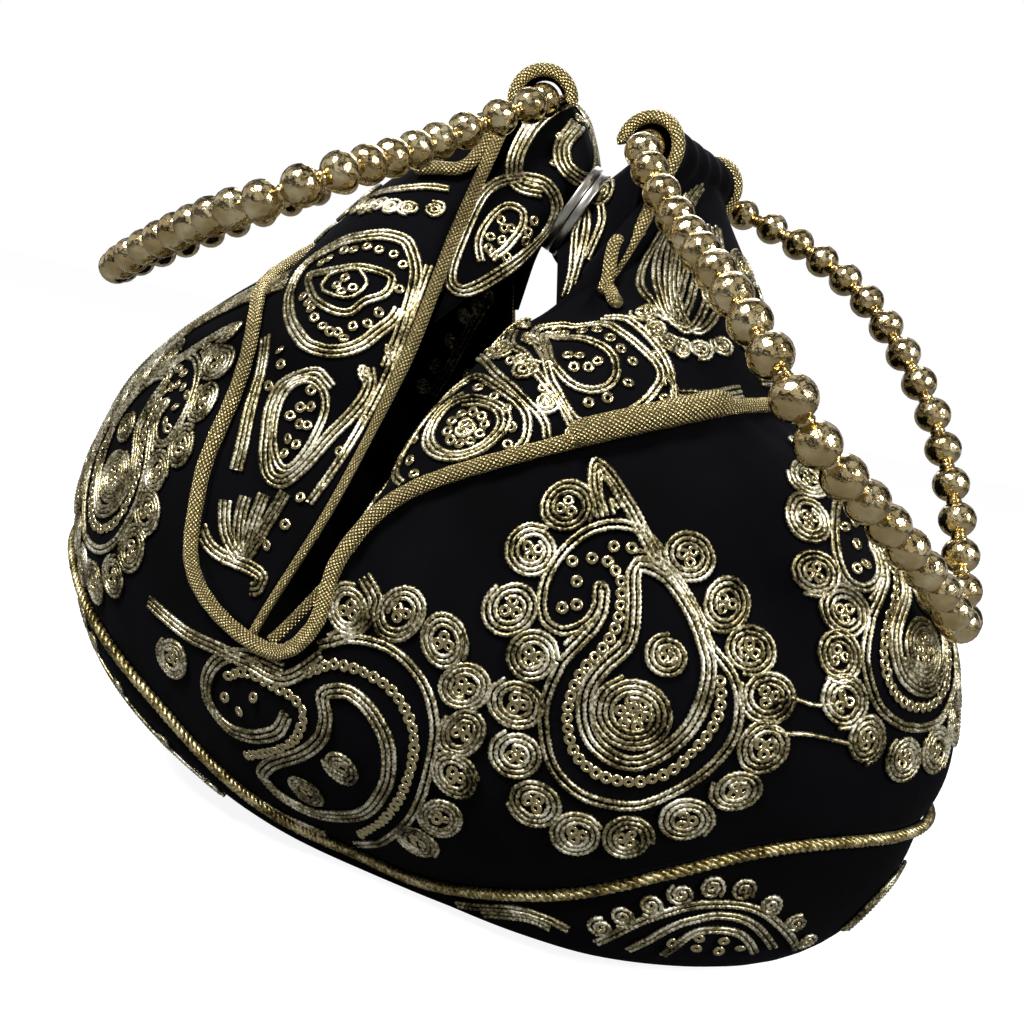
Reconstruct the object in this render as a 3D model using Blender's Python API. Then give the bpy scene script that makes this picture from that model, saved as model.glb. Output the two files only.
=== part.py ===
# Potli evening bag: velvet sack with a boat-shaped bottom, two folded yokes, two bead handles.
# X runs from yoke to yoke, Y from slit to slit, Z up; the origin is under the bag's middle.
# Lengths in this file are millimetres; MM turns them to metres when a mesh is written.
import bpy
import bmesh
import math
from mathutils import Matrix, Vector

MM = 0.001
SEAT = 0.3

# Sack
BAG_LENGTH = 224.0
BAG_DEPTH = 128.0
BELLY_HEIGHT = 60.0
SHOULDER_RIGHT = 75.0
SHOULDER_LEFT = 90.0
BELLY_DROP = 66.0
VELVET = 2.0
LINING = 0.8
LINING_SLACK = 1.2
FOOT_LENGTH = 112.0
FOOT_INSET = 3.8
SEAM_LOW_BEARING = 90.0
FOOT_SHIFT = 14.0
BASE_FULL_RIGHT = 1.1
BASE_FULL_LEFT = 0.5
BOARD_THICK = 1.6
BOARD_MARGIN = 5.0
LINING_FLOOR = 0.8
LINING_LIFT = 5.0
LINING_BEND = 0.4
LINING_BELOW_RIM = 8.0

# Piping and braid
BASE_PIPING_RADIUS = 1.4
RIM_PIPING_RADIUS = 1.7
SEAM_PART = 0.9
YOKE_PART = 3.1
BRAID_RADIUS = 1.5
BRAID_PLAY = 0.6
BRAID_AIM = 0.27

# Yokes and the casings at their tops
YOKE_CLOTH = 1.6
BEAD_PLAY = 1.1
LEFT_CASING_FRONT = Vector((-9, -10, BELLY_HEIGHT + 119))
LEFT_CASING_BACK = Vector((-24, 29, BELLY_HEIGHT + 128))
RIGHT_CASING_FRONT = Vector((19, -12, BELLY_HEIGHT + 112))
RIGHT_CASING_BACK = Vector((24, 33, BELLY_HEIGHT + 114))
CASING_START = -15.0
CASING_END = 175.0
FLAP_TOP = -17.5
FLAP_BOTTOM = 11.0
FLAP_SHIFT = 6.0
FLAP_BEND = 0.3
GATHER = 1.2
GATHER_FOLDS = 4
YOKE_ROWS = 15
FACE_SHARE = 7 / YOKE_ROWS
CASING_SHARE = 12 / YOKE_ROWS
LEFT_YOKE_COLUMNS = 12
RIGHT_YOKE_COLUMNS = 14

# Magnetic snap
SNAP_CENTRE = Vector((3, -5, BELLY_HEIGHT + 97))
SNAP_LEAN = 23.0
SNAP_TURN = 19.0
SNAP_RADIUS = 11.0
SNAP_PLATE = 1.9
SNAP_STUD_RADIUS = 3.0
SNAP_STUD = 1.0
SNAP_PLAY = 0.4
SNAP_BEVEL = 0.5
SNAP_SIDES = 16
WASHER_RADIUS = 6.5
WASHER_THICK = 0.7
WASHER_PLAY = 0.9

# Handles; the casing is sewn round the beads that run through it
BEAD = 8.0
BEAD_PITCH = 8.7
SPACER = 3.2
CASING_RADIUS = BEAD / 2 + BEAD_PLAY + YOKE_CLOTH

# Embroidered motifs
PAD_THICK = 0.8
PAD_RISE = 0.9

AROUND = 44
WALL_ROWS = 5
SEAM_FOLLOW = 0.35

# Seam between base and wall: bearing round the sack in degrees, height from the belly
SEAM_PATH = [(-180, -6), (-155, -10), (-140, -18), (-128, -30), (-115, -44), (-100, -53), (-80, -54),
             (-62, -43), (-50, -29), (-38, -20), (-20, -15), (0, -13), (25, -16), (45, -26), (60, -42),
             (80, -53), (100, -53), (118, -42), (132, -27), (150, -12)]

# Rim of the sack, with its low dips at the two slits, in the same terms
RIM_PATH = [(-180, 78), (-160, 74), (-143, 66), (-127, 55), (-118, 40), (-115, 20), (-113, 4),
            (-107, -4), (-99, -6), (-95, 2), (-94, 16), (-90, 30), (-82, 40), (-70, 49),
            (-55, 56), (-38, 61), (-18, 63), (5, 63), (30, 61), (52, 55), (70, 47), (84, 35),
            (91, 16), (99, 5), (107, 10), (114, 30), (126, 52), (143, 67), (162, 75)]
FRONT_DIP = -102.0
BACK_DIP = 100.0


def catmull(points, s, closed=False):
    """Smooth curve through the points; s runs from 0 to 1 over the whole list."""
    count = len(points)
    spans = count if closed else count - 1
    place = s * spans
    k = min(int(math.floor(place)), spans - 1)
    f = place - k
    if closed:
        a, b, c, d = (points[(k + j) % count] for j in (-1, 0, 1, 2))
    else:
        a, b, c, d = (points[max(0, min(count - 1, k + j))] for j in (-1, 0, 1, 2))
    return 0.5 * ((2 * b) + (c - a) * f + (2 * a - 5 * b + 4 * c - d) * f * f
                  + (3 * b - a - 3 * c + d) * f ** 3)


def ring_point(path, s):
    """Bearing and height at share s of a closed path; the bearing goes on growing past one turn."""
    count = len(path)
    turn = Vector((360, 0))
    place = s * count
    k = math.floor(place)
    f = place - k
    a, b, c, d = (Vector(path[(k + j) % count]) + turn * ((k + j) // count) for j in (-1, 0, 1, 2))
    p = 0.5 * ((2 * b) + (c - a) * f + (2 * a - 5 * b + 4 * c - d) * f * f
               + (3 * b - a - 3 * c + d) * f ** 3)
    return p.x, p.y + BELLY_HEIGHT


def height_at(path, bearing):
    """Height of a path that can be read as a function of bearing."""
    low, high = 0.0, 1.0
    for _ in range(40):
        mid = 0.5 * (low + high)
        if ring_point(path, mid)[0] < bearing:
            low = mid
        else:
            high = mid
    return ring_point(path, low)[1]


def share_at(path, bearing):
    """Share of the closed path at which it passes a bearing."""
    low, high = 0.0, 1.0
    for _ in range(40):
        mid = 0.5 * (low + high)
        if ring_point(path, mid)[0] < bearing:
            low = mid
        else:
            high = mid
    return low


def sack(bearing, height, inside=0.0):
    """Point on the sack's outer surface, or on one that lies further inside it."""
    t = math.radians(bearing)
    if height >= BELLY_HEIGHT:
        mean = 0.5 * (SHOULDER_RIGHT + SHOULDER_LEFT)
        reach = mean + 0.5 * (SHOULDER_RIGHT - SHOULDER_LEFT) * math.cos(t)
    else:
        reach = BELLY_DROP
    rise = (height - BELLY_HEIGHT) / (reach - inside)
    k = math.sqrt(max(0.0, 1.0 - rise * rise))
    return Vector(((BAG_LENGTH / 2 - inside) * k * math.cos(t),
                   (BAG_DEPTH / 2 - inside) * k * math.sin(t), height))


def sack_normal(bearing, height):
    across = sack(bearing + 0.5, height) - sack(bearing - 0.5, height)
    up = sack(bearing, height + 0.5) - sack(bearing, height - 0.5)
    return across.cross(up).normalized()


def rim(s):
    return sack(*ring_point(RIM_PATH, s))


def rim_frame(s):
    """Point, outward normal and in-cloth direction towards the yoke at share s of the rim."""
    ahead = rim(s + 0.003) - rim(s - 0.003)
    normal = sack_normal(*ring_point(RIM_PATH, s))
    return rim(s), normal, normal.cross(ahead).normalized()


def material(name, colour, roughness, metallic=0.0):
    mat = bpy.data.materials.new(name)
    mat.use_nodes = True
    shader = mat.node_tree.nodes["Principled BSDF"]
    shader.inputs["Base Color"].default_value = (*colour, 1.0)
    shader.inputs["Roughness"].default_value = roughness
    shader.inputs["Metallic"].default_value = metallic
    mat.diffuse_color = (*colour, 1.0)
    return mat


def put(name, data, mat, place=None):
    obj = bpy.data.objects.new(name, data)
    bpy.context.scene.collection.objects.link(obj)
    data.materials.append(mat)
    if place is not None:
        obj.location = place.to_translation()
        obj.rotation_euler = place.to_euler()
    return obj


def sheet_mesh(name, place, columns, rows, ring=False, floor=False):
    """Grid of cloth laid on a surface: place(u, v) with both from 0 to 1, in millimetres."""
    bm = bmesh.new()
    bmesh.ops.create_grid(bm, x_segments=columns, y_segments=rows, size=0.5)
    for v in bm.verts:
        v.co = place(v.co.x + 0.5, v.co.y + 0.5) * MM
    if ring:
        bmesh.ops.remove_doubles(bm, verts=bm.verts, dist=0.01 * MM)
    if floor:
        low = min(v.co.z for v in bm.verts)
        edges = [e for e in bm.edges if e.is_boundary and all(v.co.z < low + 0.1 * MM for v in e.verts)]
        made = bmesh.ops.contextual_create(bm, geom=edges)["faces"]
        for face in made:
            face.normal_update()
            if face.normal.z > 0:
                face.normal_flip()
    mesh = bpy.data.meshes.new(name)
    bm.to_mesh(mesh)
    bm.free()
    mesh.shade_smooth()
    return mesh


def cloth(name, mesh, thick, mat):
    """Give a sheet its thickness on its inner side."""
    obj = put(name, mesh, mat)
    solid = obj.modifiers.new("thickness", "SOLIDIFY")
    solid.thickness = thick * MM
    solid.offset = -1.0
    solid.use_even_offset = True
    return obj


def tube(name, points, radii, closed, mat, place=None, fineness=1):
    """Round cord along the points; radii is one number or one for each point."""
    curve = bpy.data.curves.new(name, "CURVE")
    curve.dimensions = "3D"
    curve.bevel_depth = MM
    curve.bevel_resolution = fineness
    curve.use_fill_caps = True
    spline = curve.splines.new("POLY")
    spline.points.add(len(points) - 1)
    for i, p in enumerate(points):
        spline.points[i].co = (p.x * MM, p.y * MM, p.z * MM, 1.0)
        spline.points[i].radius = radii[i] if isinstance(radii, list) else radii
    spline.use_cyclic_u = closed
    spline.use_smooth = True
    return put(name, curve, mat, place)


def turned(name, profile, mat, place):
    """Solid turned from (radius, height) points; the first and last lie on the axis."""
    bm = bmesh.new()
    verts = [bm.verts.new((r * MM, 0, z * MM)) for r, z in profile]
    edges = [bm.edges.new(pair) for pair in zip(verts, verts[1:])]
    bmesh.ops.spin(bm, geom=verts + edges, cent=(0, 0, 0), axis=(0, 0, 1), dvec=(0, 0, 0),
                   angle=2 * math.pi, steps=SNAP_SIDES, use_merge=True, use_duplicate=False)
    bmesh.ops.remove_doubles(bm, verts=bm.verts, dist=0.01 * MM)
    bmesh.ops.recalc_face_normals(bm, faces=bm.faces)
    mesh = bpy.data.meshes.new(name)
    bm.to_mesh(mesh)
    bm.free()
    mesh.shade_smooth()
    mesh.set_sharp_from_angle(angle=math.radians(40))
    return put(name, mesh, mat, place)


def measured(path):
    """Fine closed curve through the path, with the length run up to each of its points."""
    fine = [catmull(path, i / 1000, True) for i in range(1001)]
    runs = [0.0]
    for a, b in zip(fine, fine[1:]):
        runs.append(runs[-1] + (b - a).length)
    return fine, runs


def walk(fine, runs, distance):
    """Point at a distance along the fine curve."""
    low, high = 0, len(runs) - 1
    while high - low > 1:
        mid = (low + high) // 2
        if runs[mid] <= distance:
            low = mid
        else:
            high = mid
    f = (distance - runs[low]) / (runs[high] - runs[low])
    return fine[low].lerp(fine[high], f)


def seam_point(u):
    """Bearing and height of the base seam under share u of the rim, so that columns lie straight."""
    bearing = SEAM_FOLLOW * ring_point(RIM_PATH, u)[0] + (1 - SEAM_FOLLOW) * (360 * u - 180)
    return bearing, height_at(SEAM_PATH, bearing)


# Body wall: one velvet panel from the base seam to the rim
def wall_place(u, v):
    if v > 0.999:
        edge, normal, up = rim_frame(u)
        return edge - up * SEAM_PART
    seam_t, seam_z = seam_point(u)
    rim_t, rim_z = ring_point(RIM_PATH, u)
    low = seam_z + SEAM_PART
    return sack(seam_t + (rim_t - seam_t) * v, low + (rim_z - low) * v)


def body_wall(velvet):
    mesh = sheet_mesh("body_wall", wall_place, AROUND, WALL_ROWS, ring=True)
    return cloth("body_wall", mesh, VELVET, velvet)


# Base panel: the velvet oval under the seam, flat where the bag stands
def foot_point(bearing, height, share, margin=0.0):
    """Point of the flat foot's outline, or of a smaller outline inside it."""
    t = math.radians(bearing)
    low_seam = sack(SEAM_LOW_BEARING, height_at(SEAM_PATH, SEAM_LOW_BEARING))
    half_depth = low_seam.y - FOOT_INSET
    return Vector((FOOT_SHIFT + (FOOT_LENGTH / 2 - margin) * share * math.cos(t),
                   (half_depth - margin) * share * math.sin(t), height))


def bowl(bearing, foot, edge, v):
    """Point at share v of the round side between the flat foot and an edge above it."""
    turn = math.pi / 2 * v
    right = 0.5 + 0.5 * math.cos(math.radians(bearing))
    fullness = BASE_FULL_LEFT + (BASE_FULL_RIGHT - BASE_FULL_LEFT) * right
    point = foot.lerp(edge, math.sin(turn) ** (1 / fullness))
    point.z = foot.z + (edge.z - foot.z) * (1 - math.cos(turn))
    return point


def base_place(u, v):
    bearing, seam_z = seam_point(u)
    seam_z -= SEAM_PART
    return bowl(bearing, foot_point(bearing, 0.0, 1.0), sack(bearing, seam_z), v)


def base_panel(velvet):
    mesh = sheet_mesh("base_panel", base_place, AROUND, 3, ring=True, floor=True)
    return cloth("base_panel", mesh, VELVET, velvet)


# Base board: stiff oval that lies in the base panel
def base_board(board):
    bm = bmesh.new()
    bmesh.ops.create_circle(bm, cap_ends=True, radius=1.0, segments=24)
    for v in bm.verts:
        bearing = math.degrees(math.atan2(v.co.y, v.co.x))
        v.co = foot_point(bearing, VELVET + SEAT, 1.0, BOARD_MARGIN) * MM
    top = bmesh.ops.extrude_face_region(bm, geom=list(bm.faces))["geom"]
    bmesh.ops.translate(bm, vec=(0, 0, BOARD_THICK * MM), verts=[g for g in top if hasattr(g, "co")])
    bmesh.ops.recalc_face_normals(bm, faces=bm.faces)
    mesh = bpy.data.meshes.new("base_board")
    bm.to_mesh(mesh)
    bm.free()
    return put("base_board", mesh, board)


# Lining: satin sack inside the velvet, with its floor on the board
def lining_place(u, v):
    inside = VELVET + LINING_SLACK
    rim_t, rim_z = ring_point(RIM_PATH, u)
    floor = VELVET + SEAT + BOARD_THICK + SEAT + LINING
    bearing, seam_z = seam_point(u)
    low = seam_z + LINING_LIFT
    if v <= LINING_BEND:
        edge = sack(bearing, low, inside + LINING_SLACK)
        return bowl(bearing, foot_point(bearing, floor, LINING_FLOOR), edge, v / LINING_BEND)
    up = (v - LINING_BEND) / (1 - LINING_BEND)
    return sack(bearing + (rim_t - bearing) * up, low + (rim_z - LINING_BELOW_RIM - low) * up, inside)


def lining(satin):
    mesh = sheet_mesh("lining", lining_place, AROUND // 2, 5, ring=True, floor=True)
    return cloth("lining", mesh, LINING, satin)


# Pipings in the two seams
def base_piping(gold):
    out = BASE_PIPING_RADIUS + SEAT
    points = []
    for i in range(AROUND):
        t, z = seam_point(i / AROUND)
        points.append(sack(t, z) + sack_normal(t, z) * out)
    return tube("base_piping", points, BASE_PIPING_RADIUS, True, gold)


def rim_piping(gold):
    points = []
    count = 54
    for i in range(count):
        edge, normal, up = rim_frame(i / count)
        points.append(edge + normal * (RIM_PIPING_RADIUS + SEAT))
    return tube("rim_piping", points, RIM_PIPING_RADIUS, True, gold)


# Snap frame: its axis leans and turns with the cloth it is set in
def snap_axes():
    lean, turn = math.radians(SNAP_LEAN), math.radians(SNAP_TURN)
    axis = Vector((math.cos(turn) * math.cos(lean), math.sin(turn) * math.cos(lean), -math.sin(lean)))
    along = Vector((-math.sin(turn), math.cos(turn), 0.0))
    up = axis.cross(along)
    return axis, along, up


# A yoke: outer face from the rim up, round the casing, and the inner face down past the snap
class Yoke:
    def __init__(self, side, front, back, ribs, rim_shares):
        self.side = side
        self.front = front
        self.back = back
        self.ribs = [[Vector((x, y, z + BELLY_HEIGHT)) for x, y, z in rib] for rib in ribs]
        self.rim_shares = rim_shares
        self.along = (back - front).normalized()
        self.out = Vector((side, 0, 0)) - self.along * (self.along.x * side)
        self.out.normalize()
        self.up = Vector((0, 0, 1)) - self.along * self.along.z
        self.up = (self.up - self.out * self.up.dot(self.out)).normalized()

    def axis(self, q):
        return self.front.lerp(self.back, q)

    def ring(self, q, degrees):
        a = math.radians(degrees)
        return self.axis(q) + (self.out * math.cos(a) + self.up * math.sin(a)) * CASING_RADIUS

    def face(self, q, s):
        """Outer face: q from front slit to back slit, s from rim to casing."""
        top = self.ring(q, CASING_START)
        columns = [catmull(rib, s) for rib in self.ribs]
        point = catmull(columns, q)
        share = catmull([Vector((x, 0)) for x in self.rim_shares], q).x
        edge, normal, up = rim_frame(share)
        foot = edge + up * YOKE_PART - normal * SEAT
        base = catmull([rib[0] for rib in self.ribs], q)
        head = catmull([rib[-1] for rib in self.ribs], q)
        fade = max(0.0, 1 - s / 0.5)
        point += (foot - base) * fade * fade
        point += (top - head) * s ** 3
        wave = math.sin(2 * math.pi * GATHER_FOLDS * q) * GATHER * math.sin(math.pi * s) * s
        return point + self.out * wave

    def inner(self, q, s):
        """Inner face: from the casing's inner side down to the hem."""
        axis, along, up = snap_axes()
        start = self.ring(q, CASING_END)
        reach = SNAP_PLATE + SNAP_PLAY + SEAT
        w = (q - 0.5) * (self.back - self.front).length + FLAP_SHIFT
        drop = FLAP_TOP + (FLAP_BOTTOM - FLAP_TOP) * s
        plane = SNAP_CENTRE + axis * (self.side * reach) + along * w - up * drop
        blend = min(1.0, s / FLAP_BEND)
        blend = blend * blend * (3 - 2 * blend)
        return start.lerp(plane, blend)

    def place(self, q, v):
        if v < FACE_SHARE:
            return self.face(q, v / FACE_SHARE)
        if v < CASING_SHARE:
            share = (v - FACE_SHARE) / (CASING_SHARE - FACE_SHARE)
            return self.ring(q, CASING_START + (CASING_END - CASING_START) * share)
        return self.inner(q, (v - CASING_SHARE) / (1 - CASING_SHARE))


# Ribs run up each yoke from the rim to its casing; their heights are from the belly
LEFT_RIBS = [
    [(-28, -63, -4), (-17, -57, 25), (-15, -42, 54), (-17, -26, 86), (-17, -12, 116)],
    [(-42, -52, 40), (-37, -45, 58), (-32, -34, 78), (-26, -20, 100), (-18, -8, 118)],
    [(-62, -12, 73), (-51, -11, 87), (-40, -8, 100), (-30, -3, 112), (-22, 4, 121)],
    [(-50, 32, 64), (-44, 30, 82), (-38, 28, 97), (-33, 24, 112), (-28, 18, 124)],
    [(-16, 61, 6), (-16, 54, 34), (-20, 45, 64), (-26, 36, 96), (-31, 28, 125)],
]
RIGHT_RIBS = [
    [(-11, -61, -3), (-3, -43, 32), (6, -34, 58), (15, -23, 86), (26, -12, 110)],
    [(-1, -60, 30), (3, -49, 46), (10, -36, 65), (18, -22, 89), (26, -8, 110)],
    [(28, -48, 50), (24, -42, 64), (22, -32, 78), (25, -17, 97), (27, -1, 111)],
    [(54, -18, 62), (48, -12, 75), (41, -5, 89), (33, 3, 102), (29, 8, 112)],
    [(60, 15, 62), (52, 17, 76), (44, 18, 90), (36, 19, 103), (31, 20, 112)],
    [(30, 52, 52), (28, 46, 66), (27, 40, 82), (29, 34, 98), (31, 29, 113)],
    [(-8, 61, 8), (-2, 52, 34), (8, 45, 62), (20, 38, 90), (32, 33, 113)],
]


def left_yoke_shape():
    front = share_at(RIM_PATH, FRONT_DIP - 1.5)
    back = share_at(RIM_PATH, BACK_DIP + 1.5)
    shares = [front, share_at(RIM_PATH, -118), share_at(RIM_PATH, -160), share_at(RIM_PATH, 145) - 1,
              back - 1]
    return Yoke(-1, LEFT_CASING_FRONT, LEFT_CASING_BACK, LEFT_RIBS, shares)


def right_yoke_shape():
    front = share_at(RIM_PATH, FRONT_DIP + 1.5)
    back = share_at(RIM_PATH, BACK_DIP - 1.5)
    shares = [front, share_at(RIM_PATH, -90), share_at(RIM_PATH, -70), share_at(RIM_PATH, -35),
              share_at(RIM_PATH, 15), share_at(RIM_PATH, 62), back]
    return Yoke(1, RIGHT_CASING_FRONT, RIGHT_CASING_BACK, RIGHT_RIBS, shares)


def yoke(name, shape, columns, velvet):
    def place(u, v):
        return shape.place(u if shape.side > 0 else 1 - u, v)
    mesh = sheet_mesh(name, place, columns, YOKE_ROWS)
    return cloth(name, mesh, YOKE_CLOTH, velvet)


def edge_braid(name, shape, q, gold):
    """Braid that binds a slit edge, the casing's mouth and the edge of the inner face."""
    inner_q = q + BRAID_AIM if q < 0.5 else q - BRAID_AIM
    points = []
    for row in range(1, YOKE_ROWS + 1):
        v = row / YOKE_ROWS
        here = shape.place(q, v)
        run = (shape.place(q, min(1.0, v + 0.02)) - shape.place(q, v - 0.02)).normalized()
        away = here - shape.place(inner_q, v)
        away = (away - run * away.dot(run)).normalized()
        points.append(here + away * (BRAID_RADIUS + BRAID_PLAY))
    return tube(name, points, BRAID_RADIUS, False, gold)


# Magnetic snap: stud plate on the left inner face, socket plate on the right, washers behind
def snap(metal):
    axis, along, up = snap_axes()
    frame = Matrix((along, up, axis)).transposed().to_4x4()

    def placed(offset, flip=False):
        turn = Matrix.Rotation(math.pi, 4, "X") if flip else Matrix.Identity(4)
        return Matrix.Translation((SNAP_CENTRE + axis * offset) * MM) @ frame @ turn

    bevel = SNAP_BEVEL
    disc = [(0, -SNAP_PLATE), (SNAP_RADIUS - bevel, -SNAP_PLATE), (SNAP_RADIUS, bevel - SNAP_PLATE),
            (SNAP_RADIUS, -bevel), (SNAP_RADIUS - bevel, 0)]
    stud = [(SNAP_STUD_RADIUS, 0), (SNAP_STUD_RADIUS - bevel, SNAP_STUD), (0, SNAP_STUD)]
    turned("snap_stud", disc + stud, metal, placed(-SEAT / 2))
    hole = SNAP_STUD_RADIUS + SEAT
    socket = [(hole, 0), (hole, -SNAP_STUD - SEAT), (0, -SNAP_STUD - SEAT)]
    turned("snap_socket", disc + socket, metal, placed(SEAT / 2, flip=True))
    back = SNAP_PLATE + SNAP_PLAY + SEAT + YOKE_CLOTH + WASHER_PLAY
    washer = [(0, 0), (WASHER_RADIUS, 0), (WASHER_RADIUS, WASHER_THICK), (0, WASHER_THICK)]
    turned("snap_washer_right", washer, metal, placed(back))
    turned("snap_washer_left", washer, metal, placed(-back, flip=True))


# Handles: (away from the casing, along the casing, height of bow) in each handle's own frame
BEAD_SHAPE = [(-0.3, 0.4), (0.0, 0.5), (0.3, 0.4)]
LEFT_LOOP = [(0.3, -5, 0), (7, -12, 0), (20, -20, 0), (31, -39, 0), (41, -57, 1), (52, -59, 1), (65, -50, 2),
             (84, -31, 2), (101, -14, 1), (110, 1, 0), (107, 19, 0), (93, 39, 0), (71, 55, 0), (45, 61, 0),
             (22, 58, 0), (7, 53, 0), (1, 48, 0)]
RIGHT_LOOP = [(0.3, -5, 0), (8, -13, 0), (26, -25, 2), (46, -44, 7), (66, -57, 10), (80, -55, 9),
              (94, -38, 9), (108, -19, 8), (118, -4, 6), (120, 8, 5), (113, 17, 8), (97, 27, 14),
              (74, 36, 19), (46, 46, 18), (22, 54, 10), (7, 55, 2), (1, 50, 0)]
LEFT_SLOPE = Vector((-0.76, -0.34, -0.56))
RIGHT_REST_BEARING = 10.0
RIGHT_REST_RISE = 28.0
RIGHT_REST_LIFT = 1.5


def right_slope():
    """Direction in which the right handle leans: from its casing to where it nears the shoulder."""
    height = BELLY_HEIGHT + RIGHT_REST_RISE
    near = sack(RIGHT_REST_BEARING, height) + sack_normal(RIGHT_REST_BEARING, height) * RIGHT_REST_LIFT
    return (near - (RIGHT_CASING_FRONT + RIGHT_CASING_BACK) / 2).normalized()


def handle_frame(front, back, slope):
    along = (back - front).normalized()
    away = (slope - along * slope.dot(along)).normalized()
    height = away.cross(along)
    if height.z < 0:
        height = -height
    return along, away, height


def handle(name, front, back, slope, loop, gold):
    along, away, height = handle_frame(front, back, slope)
    width = (back - front).length
    casing = [(0, width * share, 0) for share in (1.0, 0.75, 0.5, 0.25, 0.0)]
    if away.cross(along).z > 0:
        frame = Matrix((away, along, height)).transposed().to_4x4()
        local = [Vector(p) for p in loop + casing]
    else:
        frame = Matrix((along, away, height)).transposed().to_4x4()
        local = [Vector((w, v, h)) for v, w, h in loop + casing]
    fine, runs = measured(local)
    beads = round(runs[-1] / BEAD_PITCH)
    pitch = runs[-1] / beads
    points, radii = [], []
    for i in range(beads):
        for share, radius in BEAD_SHAPE:
            points.append(walk(fine, runs, (i + 0.5) * pitch + share * BEAD))
            radii.append(radius * BEAD)
        points.append(walk(fine, runs, (i + 1) * pitch))
        radii.append(SPACER / 2)
    place = Matrix.Translation(front * MM) @ frame
    return tube(name, points, radii, True, gold, place)


# Motif pads: paisleys with a ring of rosettes, laid flat on the wall
MOTIFS = {
    "motif_front": (-61, 6, 25, 33),
    "motif_front_left": (-93, -29, 25, 17),
    "motif_right_front": (-30, 22, 20, 26),
    "motif_left_front": (-140, 22, 18, 27),
    "motif_right_back": (22, 24, 22, 26),
    "motif_back": (60, 6, 24, 31),
    "motif_back_left": (102, -22, 24, 19),
    "motif_left_back": (150, 28, 20, 26),
}
ROSETTES = 10


def motif(name, bearing, rise_from_belly, half_width, half_height, gold):
    height = BELLY_HEIGHT + rise_from_belly
    centre = sack(bearing, height)
    across = sack(bearing + 1, height) - sack(bearing - 1, height)
    rise = sack(bearing, height + 1) - sack(bearing, height - 1)
    per_degree = across.length / 2
    per_rise = rise.length / 2

    def place(u, v):
        a = 2 * math.pi * u
        scallop = 1 - 0.08 * math.cos(ROSETTES * a)
        r = v * scallop
        x = half_width * r * math.cos(a)
        y = half_height * r * math.sin(a)
        t = bearing + x / per_degree
        z = height + y / per_rise
        return sack(t, z) + sack_normal(t, z) * (PAD_THICK + PAD_RISE)

    bm = bmesh.new()
    rings = []
    columns = 2 * ROSETTES
    for v in (0.55, 1.0):
        rings.append([bm.verts.new(place(i / columns, v) * MM) for i in range(columns)])
    hub = bm.verts.new(place(0, 0) * MM)
    for i in range(columns):
        j = (i + 1) % columns
        bm.faces.new((hub, rings[0][i], rings[0][j]))
        bm.faces.new((rings[0][i], rings[1][i], rings[1][j], rings[0][j]))
    mesh = bpy.data.meshes.new(name)
    bm.to_mesh(mesh)
    bm.free()
    mesh.shade_smooth()
    return cloth(name, mesh, PAD_THICK, gold)


def build():
    for obj in list(bpy.data.objects):
        bpy.data.objects.remove(obj, do_unlink=True)
    velvet = material("velvet", (0.008, 0.008, 0.010), 0.9)
    satin = material("satin_lining", (0.02, 0.02, 0.025), 0.5)
    board = material("board", (0.30, 0.25, 0.18), 0.9)
    cord = material("gold_cord", (0.55, 0.45, 0.22), 0.45, 0.8)
    bead = material("gold_bead", (0.80, 0.62, 0.34), 0.2, 1.0)
    steel = material("nickel_steel", (0.60, 0.60, 0.58), 0.3, 1.0)

    base_panel(velvet)
    base_board(board)
    body_wall(velvet)
    lining(satin)
    base_piping(cord)
    rim_piping(cord)
    left = left_yoke_shape()
    right = right_yoke_shape()
    yoke("yoke_left", left, LEFT_YOKE_COLUMNS, velvet)
    yoke("yoke_right", right, RIGHT_YOKE_COLUMNS, velvet)
    edge_braid("braid_left_front", left, 0.0, cord)
    edge_braid("braid_left_back", left, 1.0, cord)
    edge_braid("braid_right_front", right, 0.0, cord)
    edge_braid("braid_right_back", right, 1.0, cord)
    snap(steel)
    handle("handle_left", LEFT_CASING_FRONT, LEFT_CASING_BACK, LEFT_SLOPE, LEFT_LOOP, bead)
    handle("handle_right", RIGHT_CASING_FRONT, RIGHT_CASING_BACK, right_slope(), RIGHT_LOOP, bead)
    for name, values in MOTIFS.items():
        motif(name, *values, cord)


build()
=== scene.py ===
import math
import random
import bpy
import bmesh
from mathutils import Matrix, Vector


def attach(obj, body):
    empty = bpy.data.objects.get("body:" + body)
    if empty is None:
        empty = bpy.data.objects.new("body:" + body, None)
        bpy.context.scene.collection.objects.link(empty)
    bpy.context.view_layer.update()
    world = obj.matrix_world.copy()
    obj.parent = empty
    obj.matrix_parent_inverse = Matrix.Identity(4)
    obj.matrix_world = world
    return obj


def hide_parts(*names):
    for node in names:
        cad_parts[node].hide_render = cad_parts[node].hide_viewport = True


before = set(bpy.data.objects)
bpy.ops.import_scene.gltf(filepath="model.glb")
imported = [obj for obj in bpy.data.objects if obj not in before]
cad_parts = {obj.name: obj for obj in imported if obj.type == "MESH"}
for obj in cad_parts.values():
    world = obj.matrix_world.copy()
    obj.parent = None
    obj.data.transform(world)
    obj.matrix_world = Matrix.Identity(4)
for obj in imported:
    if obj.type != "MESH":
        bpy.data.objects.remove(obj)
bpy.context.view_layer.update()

# Base panel
# The bag's bottom: one oval of black cotton velvet, cut to a boat shape and sewn to the wall all round.
# It is stretched over a flat board, so it stands on a flat foot and rises as a soft bowl to the seam.
MM = 0.001
BELLY = 60.0
HALF_LENGTH, HALF_DEPTH = 112.0, 64.0
SHOULDER_RIGHT, SHOULDER_LEFT, BELLY_DROP = 75.0, 90.0, 66.0
VELVET = 2.0
SEAM_FOLLOW = 0.35
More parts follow.
